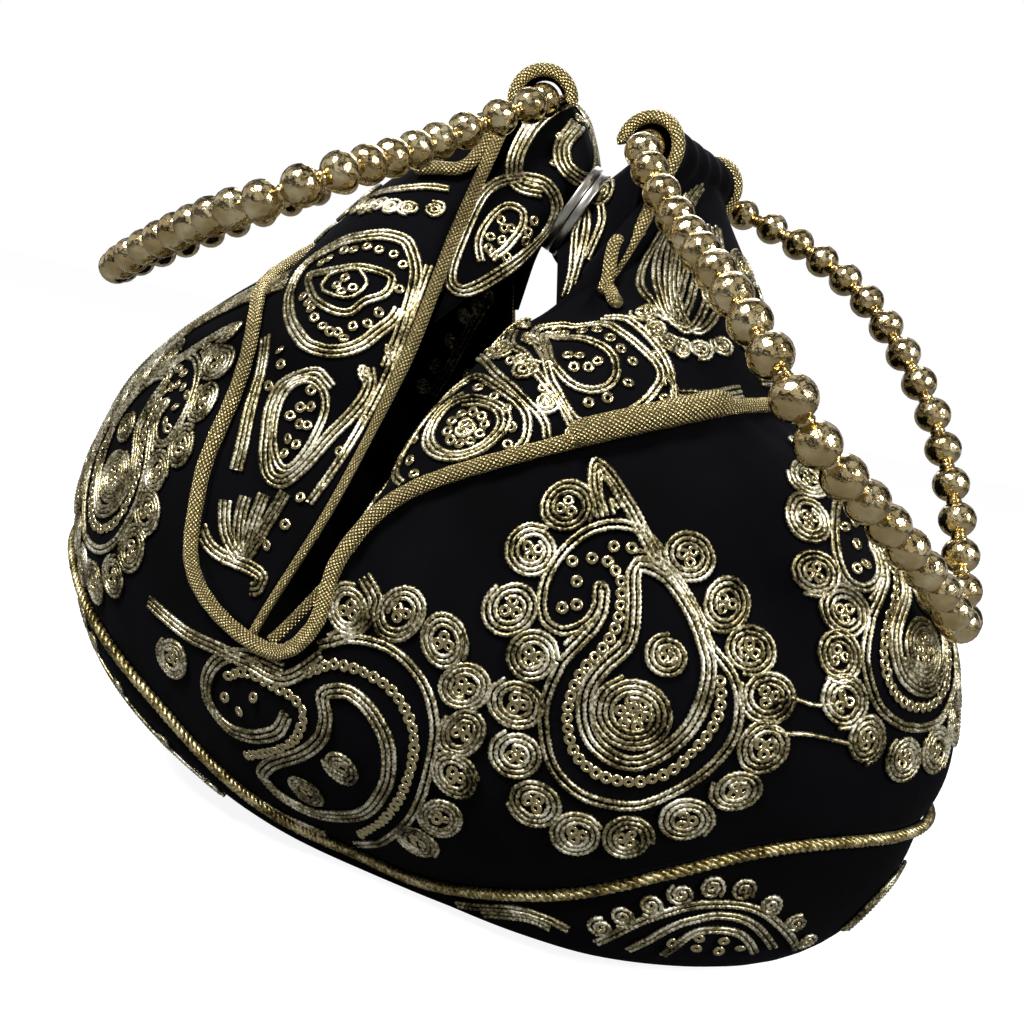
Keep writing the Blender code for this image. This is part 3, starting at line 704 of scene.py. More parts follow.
# Bead handles
# Round plated beads of 8 mm with a small spacer between each pair, on a stiff cord that runs through the casing.
# The plating is pale brass, mirror-bright with shallow dents and a faint seam, and a little dulled.
BEAD, SPACER, PITCH = 8.0, 3.4, 8.7
LEFT_LOOP = [(0.3, -5, 0), (7, -12, 0), (20, -20, 0), (31, -39, 0), (41, -57, 1), (52, -59, 1), (65, -50, 2),
             (84, -31, 2), (101, -14, 1), (110, 1, 0), (107, 19, 0), (93, 39, 0), (71, 55, 0), (45, 61, 0),
             (22, 58, 0), (7, 53, 0), (1, 48, 0)]
RIGHT_LOOP = [(0.3, -5, 0), (8, -13, 0), (26, -25, 2), (46, -44, 7), (66, -57, 10), (80, -55, 9),
              (94, -38, 9), (108, -19, 8), (118, -4, 6), (120, 8, 5), (113, 17, 8), (97, 27, 14),
              (74, 36, 19), (46, 46, 18), (22, 54, 10), (7, 55, 2), (1, 50, 0)]
LEFT_SLOPE = Vector((-0.76, -0.34, -0.56))


def bead_material():
    mat, tree, shader = finish_material("plated_bead", srgb("#b39d74"), 0.14, 1.0)
    where = add(tree, "ShaderNodeTexCoord").outputs["Object"]
    dull = add(tree, "ShaderNodeTexNoise", {"Vector": where}, Scale=210.0, Detail=4.0)
    tone = ramp(tree, dull.outputs["Fac"], [(0.3, srgb("#a38f60")), (0.5, srgb("#bda87a")), (0.7, srgb("#dccea6"))])
    tree.links.new(tone, shader.inputs["Base Color"])
    rough = add(tree, "ShaderNodeMapRange", {"Value": dull.outputs["Fac"]}, To_Min=0.07, To_Max=0.2)
    tree.links.new(rough.outputs["Result"], shader.inputs["Roughness"])
    dents = add(tree, "ShaderNodeTexNoise", {"Vector": where}, Scale=520.0, Detail=3.0)
    bump = add(tree, "ShaderNodeBump", {"Height": dents.outputs["Fac"]}, Strength=0.45, Distance=0.0008)
    tree.links.new(bump.outputs["Normal"], shader.inputs["Normal"])
    return mat


bead_gold = bead_material()


def right_slope():
    near = sack(10.0, BELLY + 28) + sack_normal(10.0, BELLY + 28) * 1.5
    return (near - (RIGHT_ENDS[0] + RIGHT_ENDS[1]) / 2).normalized()


def loop_points(ends, slope, loop):
    """Centres of the handle's beads in the row frame, in mm."""
    front, back = ends
    along = (back - front).normalized()
    away = (slope - along * slope.dot(along)).normalized()
    height = away.cross(along)
    if height.z < 0:
        height = -height
    width = (back - front).length
    path = [Vector(p) for p in loop] + [Vector((0, width * share, 0)) for share in (1.0, 0.75, 0.5, 0.25, 0.0)]
    fine = [catmull(path, i / 1000, True) for i in range(1000)]
    world = [front + away * v + along * w + height * h for v, w, h in fine]
    length = sum((world[i] - world[i - 1]).length for i in range(1000))
    beads = round(length / PITCH)
    points, total = even(world, length / (2 * beads), True)
    return points[1::2], points[2::2] + points[:1]


def handle(name, ends, slope, loop, body, node):
    beads, gaps = loop_points(ends, slope, loop)
    count = len(beads)
    spacer_mesh = bmesh.new()
    for i in range(count):
        axis = (beads[(i + 1) % count] - beads[i - 1]).normalized()
        turn = Vector((0, 0, 1)).rotation_difference(axis).to_matrix().to_4x4()
        bead_at = Matrix.Translation(beads[i] * MM) @ turn
        bmesh.ops.create_uvsphere(spacer_mesh, u_segments=22, v_segments=14, radius=BEAD / 2 * MM, matrix=bead_at)
        axis = (beads[(i + 1) % count] - beads[i]).normalized()
        turn = Vector((0, 0, 1)).rotation_difference(axis).to_matrix().to_4x4()
        middle = (beads[i] + beads[(i + 1) % count]) / 2
        squat = Matrix.Translation(middle * MM) @ turn @ Matrix.Diagonal((1, 1, 0.6, 1))
        bmesh.ops.create_uvsphere(spacer_mesh, u_segments=12, v_segments=8, radius=SPACER / 2 * MM, matrix=squat)
    mesh = bpy.data.meshes.new(name)
    spacer_mesh.to_mesh(mesh)
    spacer_mesh.free()
    mesh.shade_smooth()
    piece(name, mesh, bead_gold, body, "gold_bead", node)


handle("handle_left_beads", LEFT_ENDS, LEFT_SLOPE, LEFT_LOOP, "handle_left", "handle_left")
handle("handle_right_beads", RIGHT_ENDS, right_slope(), RIGHT_LOOP, "handle_right", "handle_right")

# Embroidery on the wall
# Twisted gold cord of 1.2 mm couched on the velvet by hand: paisleys in double and triple lines, filled with
# rows of small ring sequins, and a garland of coiled rosettes round each; every coil is a little different.
CORD = 0.48
CORD_STEP = 0.46
SEQUIN = 1.28
rng = random.Random(7)
# The darkest and lightest tones here are painted shade and painted highlight.
couched_gold = gold_thread_material("couched_gold_cord", srgb("#231e10"), srgb("#958a62"), srgb("#f6f1da"), 1500.0)


def sequin_material():
    mat, tree, shader = finish_material("ring_sequins", srgb("#b0a47e"), 0.22, 1.0)
    where = add(tree, "ShaderNodeTexCoord").outputs["Object"]
    tilt = add(tree, "ShaderNodeTexNoise", {"Vector": where}, Scale=600.0, Detail=1.0)
    bump = add(tree, "ShaderNodeBump", {"Height": tilt.outputs["Fac"]}, Strength=0.5, Distance=0.0006)
    tree.links.new(bump.outputs["Normal"], shader.inputs["Normal"])
    return mat


sequin_gold = sequin_material()


def ring_mesh():
    """One ring sequin: a flat cup with a hole, lying on the XY plane, in mm."""
    bm = bmesh.new()
    profile = [(0.42, 0.0), (0.42, 0.3), (0.85, 0.42), (SEQUIN, 0.24), (SEQUIN, 0.0)]
    verts = [bm.verts.new((r, 0, z)) for r, z in profile]
    edges = [bm.edges.new(pair) for pair in zip(verts, verts[1:])]
    bmesh.ops.spin(bm, geom=verts + edges, cent=(0, 0, 0), axis=(0, 0, 1), angle=2 * math.pi, steps=10,
                   use_merge=True, use_duplicate=False)
    bmesh.ops.remove_doubles(bm, verts=bm.verts, dist=0.01)
    bmesh.ops.recalc_face_normals(bm, faces=bm.faces)
    for face in bm.faces:
        face.smooth = True
    mesh = bpy.data.meshes.new("ring_sequin")
    bm.to_mesh(mesh)
    bm.free()
    return mesh


RING = ring_mesh()


def patch(surface, u, v, du, dv, flip=False):
    """Millimetre frame on a surface: returns lay(x, y, lift), with x level and y up the cloth."""
    here = surface(u, v)
    across = (surface(u + du, v) - surface(u - du, v)) / (2 * du)
    rise = (surface(u, v + dv) - surface(u, v - dv)) / (2 * dv)
    ex = across.normalized()
    ey = (rise - ex * rise.dot(ex)).normalized()
    skew = rise.dot(ex) / across.length
    stretch = rise.dot(ey)
    normal = ex.cross(ey)
    if flip:
        normal = -normal

    def lay(x, y, lift):
        b = y / stretch
        a = x / across.length - b * skew
        return surface(u + a, v + b) + normal_at(u + a, v + b) * lift

    def normal_at(a, b):
        n = (surface(a + du, b) - surface(a - du, b)).cross(surface(a, b + dv) - surface(a, b - dv)).normalized()
        return -n if flip else n

    return lay


def laid(surface, du, dv, sign=1.0):
    """Point above a cloth and its normal, at shares of that cloth."""
    def at(a, b, lift):
        across = surface(a + du, b) - surface(a - du, b)
        normal = across.cross(surface(a, b + dv) - surface(a, b - dv)).normalized() * sign
        return surface(a, b) + normal * lift, normal

    return at


class Work:
    """Cords and sequins of one embroidered panel, gathered into two pieces."""

    def __init__(self, name):
        self.name = name
        self.runs = []
        self.rings = bmesh.new()

    def line(self, lay, points, closed=False, lift=0.5):
        """One couched cord along flat points (x, y) in mm."""
        flat = [Vector((x, y)) for x, y in points]
        spans = len(flat) if closed else len(flat) - 1
        fine = [catmull(flat, i / (spans * 12), closed) for i in range(spans * 12 + (0 if closed else 1))]
        smooth, length = even(fine, CORD_STEP, closed)
        path = [lay(p.x + rng.gauss(0, 0.03), p.y + rng.gauss(0, 0.03), lift) for p in smooth]
        radii = [1.12 if i % 2 else 0.72 for i in range(len(path))]
        self.runs.append((path, radii, closed))

    def nested(self, lay, points, offsets, closed=False):
        """The same line couched several times side by side."""
        flat = [Vector((x, y)) for x, y in points]
        count = len(flat)
        for offset in offsets:
            moved = []
            for i in range(count):
                a = flat[i - 1] if closed or i else flat[0]
                b = flat[(i + 1) % count] if closed or i < count - 1 else flat[-1]
                d = (b - a).normalized()
                moved.append((flat[i].x + d.y * offset, flat[i].y - d.x * offset))
            self.line(lay, moved, closed)

    def sequin(self, lay, x, y, lift=0.25):
        centre = lay(x, y, lift)
        normal = (lay(x + 0.5, y, lift) - centre).cross(lay(x, y + 0.5, lift) - centre).normalized()
        if (lay(x, y, lift + 1.0) - centre).dot(normal) < 0:
            normal = -normal
        normal = (normal + Vector((rng.gauss(0, 0.16), rng.gauss(0, 0.16), rng.gauss(0, 0.16)))).normalized()
        place = Matrix.Translation(centre * MM) @ Vector((0, 0, 1)).rotation_difference(normal).to_matrix().to_4x4()
        before = len(self.rings.verts)
        self.rings.from_mesh(RING)
        self.rings.verts.ensure_lookup_table()
        bmesh.ops.transform(self.rings, matrix=place @ Matrix.Scale(MM, 4), verts=self.rings.verts[before:])

    def sequins(self, lay, points, pitch=2.15):
        flat = [Vector(p) for p in points]
        spans = len(flat) - 1
        fine = [catmull(flat, i / (spans * 12)) for i in range(spans * 12 + 1)]
        for p in even(fine, pitch)[0]:
            self.sequin(lay, p.x, p.y)

    def rosette(self, lay, radius=5.1, coils=3, squash=1.0, turn=0.0, centre=(0.0, 0.0), lift=0.5):
        """A coil of cord round a few sequins, slightly out of round."""
        wobble = rng.uniform(0, 6.28)
        points = []
        steps = coils * 9
        pitch = 1.08
        for i in range(steps + 1):
            a = 2 * math.pi * i / 9 + wobble
            r = radius - pitch * i / 9
            r *= 1 + 0.05 * math.sin(2 * a + wobble)
            x, y = r * math.cos(a), r * math.sin(a) * squash
            points.append((centre[0] + x * math.cos(turn) - y * math.sin(turn),
                           centre[1] + x * math.sin(turn) + y * math.cos(turn)))
        self.line(lay, points, lift=lift)
        inner = radius - pitch * coils
        for k in range(3 if inner > 0.6 else 1):
            a = 2 * math.pi * k / 3 + wobble
            off = max(0.0, min(1.25, inner)) if inner > 0.6 else 0.0
            self.sequin(lay, centre[0] + off * math.cos(a), centre[1] + off * math.sin(a) * squash, lift - 0.25)

    def trail(self, at, shares, offsets=(0.0,), closed=False, lift=0.45):
        """The same cord couched side by side along shares of a cloth."""
        flat = [Vector(p) for p in shares]
        spans = len(flat) if closed else len(flat) - 1
        fine = [catmull(flat, i / (spans * 12), closed) for i in range(spans * 12 + (0 if closed else 1))]
        laid_points = [at(p.x, p.y, lift) for p in fine]
        points = [p for p, _ in laid_points]
        count = len(points)
        for offset in offsets:
            moved = []
            for i, (point, normal) in enumerate(laid_points):
                a = points[i - 1] if closed or i else points[0]
                b = points[(i + 1) % count] if closed or i < count - 1 else points[-1]
                side = (b - a).cross(normal).normalized()
                moved.append(point + side * offset)
            path, length = even(moved, CORD_STEP, closed)
            self.runs.append((path, [1.12 if i % 2 else 0.72 for i in range(len(path))], closed))

    def sequins_at(self, at, shares):
        for a, b in shares:
            point, normal = at(a, b, 0.3)
            side = normal.orthogonal().normalized()
            up = normal.cross(side)
            self.sequin(lambda x, y, lift: point + side * x + up * y + normal * (lift - 0.25), 0, 0)

    def done(self, mat, *nodes):
        curve = cord_curve(self.name + "_cords", self.runs, CORD, 1)
        piece(self.name + "_cords", curve, mat, "bag", "gold_cord", *nodes)
        mesh = bpy.data.meshes.new(self.name + "_sequins")
        self.rings.to_mesh(mesh)
        self.rings.free()
        if len(mesh.polygons):
            piece(self.name + "_sequins", mesh, sequin_gold, "bag", "gold_cord")


def wall_patch(bearing, height):
    return patch(soft_wall, bearing, height, 0.4, 0.4)


# Lines of the large paisley, in mm from its middle
PAISLEY_OUTER = [(-14.8, 2.5), (-15.7, -3.4), (-15.2, -8.5), (-12.0, -15.6), (-7.4, -19.5), (-1.8, -21.1),
                 (5.8, -20.3), (11.6, -15.7), (15.7, -10.4), (18.5, -3.8), (18.3, 2.4), (16.0, 7.3), (10.9, 11.8),
                 (7.5, 17.4), (1.9, 23.0), (-2.4, 24.5), (-5.4, 24.1)]
PAISLEY_INNER = [(-4.1, 11.8), (-4.7, 8.4), (-7.8, 3.9), (-9.6, -0.6), (-9.0, -5.6), (-6.3, -10.1), (-1.7, -12.6),
                 (2.9, -12.5), (6.8, -9.2), (10.2, -3.8), (11.7, 2.2), (11.8, 7.7), (10.4, 11.7), (7.0, 17.3),
                 (2.1, 22.0), (-3.1, 23.6), (-5.1, 21.6), (-4.5, 16.5)]
PAISLEY_BAND = [(-10.5, 22.5), (-7.5, 19.9), (-6.9, 15.4), (-7.2, 11.0), (-9.2, 6.1), (-11.3, 2.4), (-12.2, -2.4),
                (-11.8, -7.2), (-9.6, -12.2), (-5.7, -15.6), (-0.6, -16.9), (4.8, -16.0), (9.6, -12.6),
                (12.2, -8.2), (14.6, -3.0), (15.2, 1.6), (14.4, 6.0)]
PAISLEY_CURL = [(-14.8, 2.5), (-12.2, 7.1), (-9.8, 11.5), (-9.4, 15.9), (-10.4, 18.4), (-12.2, 17.8), (-11.9, 14.2),
                (-13.3, 11.0), (-16.5, 9.0), (-19.4, 9.9), (-20.7, 13.1), (-20.5, 17.6), (-18.5, 22.3),
                (-14.9, 26.3), (-10.0, 28.6), (-5.1, 28.8), (-1.4, 27.0), (0.4, 25.0)]
PAISLEY_LEAF = [(-13.5, 29.5), (-15.8, 34.6), (-15.7, 39.5), (-11.9, 38.8), (-7.7, 35.1), (-4.5, 31.6), (-0.1, 25.8)]
PAISLEY_ROSETTES = [(-20.2, 30.5), (-25.0, 21.0), (-25.9, 9.9), (-20.4, 2.4), (-21.0, -6.9), (-18.5, -16.8),
                    (-12.0, -25.2), (-1.4, -29.4), (8.2, -27.9), (16.8, -22.1), (23.6, -13.8), (26.2, -4.4),
                    (24.6, 5.0), (19.2, 12.9), (13.6, 20.4), (5.6, 27.2)]


def paisley(work, bearing, height, wide=1.0, tall=1.0, keep=range(16), body=True):
    """The large paisley with its garland; wide below zero mirrors it."""
    base = wall_patch(bearing, height)

    def lay(x, y, lift):
        return base(x * wide, y * tall, lift)

    if body:
        work.nested(lay, PAISLEY_OUTER, (0.0, 1.25))
        work.nested(lay, PAISLEY_INNER, (0.0, 1.2, -1.15), closed=True)
        work.nested(lay, PAISLEY_CURL, (0.0, -1.2))
        work.line(lay, [(-15.6, 6.0), (-13.2, 9.6), (-11.2, 12.2)])
        work.nested(lay, PAISLEY_LEAF, (0.0, 1.1, 2.2))
        work.line(lay, [(-12.2, 30.5), (-13.4, 34.5), (-13.2, 37.0), (-11.2, 36.0), (-8.6, 32.8)])
        work.line(lay, [(-10.2, 30.8), (-11.2, 33.4), (-9.4, 32.0)])
        work.sequins(lay, PAISLEY_BAND)
        for x, y in ((-15.7, 17.6), (-17.4, 12.4), (-14.9, 13.6), (-13.6, 22.4), (-17.2, 21.0), (-9.6, 25.4),
                     (-6.0, 25.9)):
            work.sequin(lay, x, y)

        def swirl(x, y, lift):
            return base((x - 0.4) * wide, (y - 3.4) * tall, lift)

        work.rosette(swirl, radius=7.4, coils=4)
        for k in range(6):
            a = 2 * math.pi * k / 6
            work.sequin(swirl, 2.5 * math.cos(a), 2.5 * math.sin(a))
        work.rosette(lambda x, y, lift: base((x + 3.4) * wide, (y + 8.4) * tall, lift), radius=4.2, coils=3)
    for k in keep:
        x, y = PAISLEY_ROSETTES[k]
        place = base(x * wide, y * tall, 0.0)
        bearing_here, height_here = wall_at(place)
        work.rosette(wall_patch(bearing_here, height_here), radius=rng.uniform(5.0, 5.5),
                     squash=rng.uniform(0.9, 1.08), turn=rng.uniform(0, 3))


def wall_at(point):
    """Bearing and height of a point on the wall."""
    return math.degrees(math.atan2(point.y / HALF_DEPTH, point.x / HALF_LENGTH)), point.z


def front_motif():
    work = Work("motif_front")
    paisley(work, -61, 66)
    work.trail(laid(soft_wall, 0.4, 0.4), [(-47.0, 69.5), (-44.5, 71.5), (-41.0, 71.0), (-37.0, 72.5)], (0.0,))
    work.trail(laid(soft_wall, 0.4, 0.4), [(-47.0, 66.0), (-44.5, 65.0), (-41.0, 65.5), (-35.5, 64.8)], (0.0,))
    work.done(couched_gold, "motif_front")


front_motif()


def side_motif(name, node, bearing, height, wide, tall, keep):
    work = Work(name)
    paisley(work, bearing, height, wide, tall, keep)
    work.done(couched_gold, node)


side_motif("motif_right_front", "motif_right_front", -19.5, 86, 0.97, 0.9, range(0, 16))
side_motif("motif_left_front", "motif_left_front", -138, 77, -0.95, 0.95, range(0, 16))
side_motif("motif_right_back", "motif_right_back", 22, 82, -0.72, 0.8, range(0, 16, 2))
side_motif("motif_back", "motif_back", 62, 66, -0.95, 0.95, range(0, 16, 1))
side_motif("motif_left_back", "motif_left_back", 150, 86, 0.74, 0.82, range(0, 16, 2))

# Low paisleys at the slits
# Under each dip of the rim the same cord makes a squat paisley with two curls, cut short by the bottom seam.
# It has the same double and triple lines, rows of ring sequins and a garland on its open side.
LOW_OUTER = [(-2.3, 18.8), (4.3, 22.6), (12.2, 23.0), (18.9, 18.7), (22.7, 11.3), (23.6, 2.1), (22.8, -9.2),
             (19.6, -18.0), (13.2, -27.0), (3.5, -32.0)]
LOW_BAND = [(-3.8, 12.9), (0.7, 16.4), (4.5, 17.2), (7.9, 17.2), (11.2, 16.6), (14.4, 15.1), (17.2, 12.4),
            (19.2, 9.2), (20.4, 5.1), (20.6, 1.0), (20.2, -3.6), (18.8, -10.3), (14.4, -19.7), (7.2, -27.7)]
LOW_INNER = [(-0.8, 9.5), (2.2, 12.4), (6.3, 13.2), (11.0, 11.0), (15.3, 6.0), (17.2, -0.0), (16.8, -7.6),
             (12.4, -17.2), (5.1, -23.2), (-6.8, -26.9), (-17.0, -25.6), (-21.1, -22.1), (-21.8, -18.8),
             (-15.8, -13.3), (-6.2, -6.6), (-0.8, -0.6), (0.4, 4.5)]
LOW_CURL = [(-9.5, 9.9), (-18.5, 9.8), (-25.5, 6.6), (-30.2, 0.5), (-31.3, -5.1), (-27.5, -8.6), (-19.8, -7.6),
            (-11.8, -3.0), (-8.9, 2.2)]
LOW_BAND_CURL = [(-24.3, 4.1), (-19.4, 7.0), (-13.4, 6.9), (-7.4, 6.4), (-4.0, 4.3), (-4.0, 1.2), (-6.0, -3.6),
                 (-10.6, -8.2), (-17.1, -12.4), (-24.2, -15.8)]
LOW_ROSETTES = [(-43.4, 0.9), (1.8, 28.5), (12.1, 31.2), (21.6, 28.2), (27.0, 20.6), (28.8, 11.2), (29.6, 1.4), (29.0, -10.0),
                (24.6, -21.0)]


def low_motif(name, node, bearing, height, wide, tall):
    work = Work(name)
    base = wall_patch(bearing, height)

    def lay(x, y, lift):
        return base(x * wide, y * tall, lift)

    work.nested(lay, LOW_OUTER, (0.0, -1.25))
    work.nested(lay, LOW_INNER, (0.0, 1.2, 2.35), closed=True)
    work.nested(lay, LOW_CURL, (0.0, 1.2, 2.4))
    work.sequins(lay, LOW_BAND)
    work.sequins(lay, LOW_BAND_CURL)
    for x, y in ((-26.2, -1.8), (-22.0, -3.6), (-17.0, 2.0)):
        work.sequin(lay, x, y)
    work.rosette(lambda x, y, lift: base((x + 5.2) * wide, (y - 6.3) * tall, lift), radius=4.4, coils=3)
    work.rosette(lambda x, y, lift: base((x - 6.8) * wide, (y * 0.7 - 18.6) * tall, lift), radius=5.4, coils=3)
    for x, y in LOW_ROSETTES:
        here, up = wall_at(base(x * wide, y * tall, 0.0))
        if up < ring_point(RIM_PATH, share_at(RIM_PATH, here))[1] - 7:
            work.rosette(wall_patch(here, up), radius=rng.uniform(5.3, 5.9), squash=rng.uniform(0.76, 0.9),
                         turn=rng.uniform(0, 3))
    work.done(couched_gold, node)


low_motif("motif_front_left", "motif_front_left", -93, 40, 1.0, 1.0)
low_motif("motif_back_left", "motif_back_left", 104, 43, -0.9, 0.78)

# Lines along the slits and the seam
# More couched cord: a sash of seven lines up the left end, a band of five along the low seam,
# and short lines that follow the rim under the left dip.
wall_at_shares = laid(soft_wall, 0.4, 0.4)


def wall_lines():
    work = Work("wall_lines")
    sash = [(-134, 126), (-143, 120), (-149, 114), (-150, 108), (-149, 102), (-151, 94), (-155, 84)]
    work.trail(wall_at_shares, sash, [1.15 * k for k in range(-3, 5)])
    work.trail(wall_at_shares, [(-128, 30), (-123, 19), (-117, 15), (-110, 12), (-104, 10), (-98, 9)],
               [1.15 * k for k in range(0, 5)])
    work.trail(wall_at_shares, [(-120, 53), (-113, 50), (-108, 50), (-103, 50), (-98, 50), (-94, 57)], (0.0, 1.15, 2.3))
    work.trail(wall_at_shares, [(-91, 74), (-89, 70), (-90, 65), (-93, 60)], (0.0, 1.15, -1.15))
    work.done(couched_gold)


wall_lines()

# Embroidery on the base
# Under the lower piping a half-round of three nested lines stands on small coils, and more lines run beside it.
base_at_shares = laid(base_surface, 0.4, 0.01)
BASE_ARCS = [[(-16, 0.588), (-13, 0.748), (-9, 0.817), (-5, 0.822), (1, 0.783), (8, 0.682), (16, 0.551)],
             [(-12, 0.541), (-9, 0.711), (-6, 0.757), (-3, 0.762), (2, 0.714), (10, 0.572)],
             [(-7, 0.504), (-6, 0.661), (-3, 0.690), (2, 0.652), (8, 0.533)]]
BASE_COILS = [(-16, 0.709), (-14.4, 0.782), (-12, 0.836), (-9.2, 0.877), (-6, 0.885), (-2, 0.858), (3, 0.784),
              (9.5, 0.695), (15.5, 0.595)]


def base_embroidery():
    work = Work("base_embroidery")
    for middle in (-38, 42, 138, -138):
        for arc in BASE_ARCS:
            work.trail(base_at_shares, [(middle + b, v) for b, v in arc], (0.0, 1.1))
        for b, v in BASE_COILS:
            work.rosette(patch(base_surface, middle + b, v, 0.4, 0.01), radius=2.6, coils=2)
        work.sequins_at(base_at_shares, [(middle + b, v) for b, v in ((-7, 0.6), (-4, 0.63), (0, 0.61), (4, 0.56),
                                                                      (-3, 0.56), (1, 0.54))])
    work.trail(base_at_shares, [(-72, 0.70), (-69, 0.753), (-64, 0.820), (-60, 0.777), (-57, 0.682)], (0.0, 1.1))
    work.trail(base_at_shares, [(-68, 0.66), (-66, 0.706), (-62, 0.747), (-59, 0.677)], (0.0, 1.1))
    work.trail(base_at_shares, [(-15, 0.62), (-14, 0.74), (-10, 0.82), (-4, 0.84)], (0.0, 1.1, 2.2, 3.3))
    work.done(couched_gold)


base_embroidery()

# Embroidery on the left yoke
# A round paisley with a comma inside stands over a narrow one, under a row of small coils along the casing;
# a fan of short lines and a curl fill the point at the dip. On the inner face are a swirl and a third paisley.


def signed(surface, share, toward):
    """Laid cloth whose normal at one share points toward a direction."""
    point, normal = laid(surface, 0.006, 0.006)(*share, 0.0)
    sign = 1.0 if normal.dot(toward) > 0 else -1.0
    return laid(surface, 0.006, 0.006, sign), sign < 0


left_face, left_flip = signed(left_yoke.face, (0.5, 0.3), left_yoke.out)
left_inner, left_inner_flip = signed(left_yoke.inner, (0.5, 0.8), SNAP_AXIS)


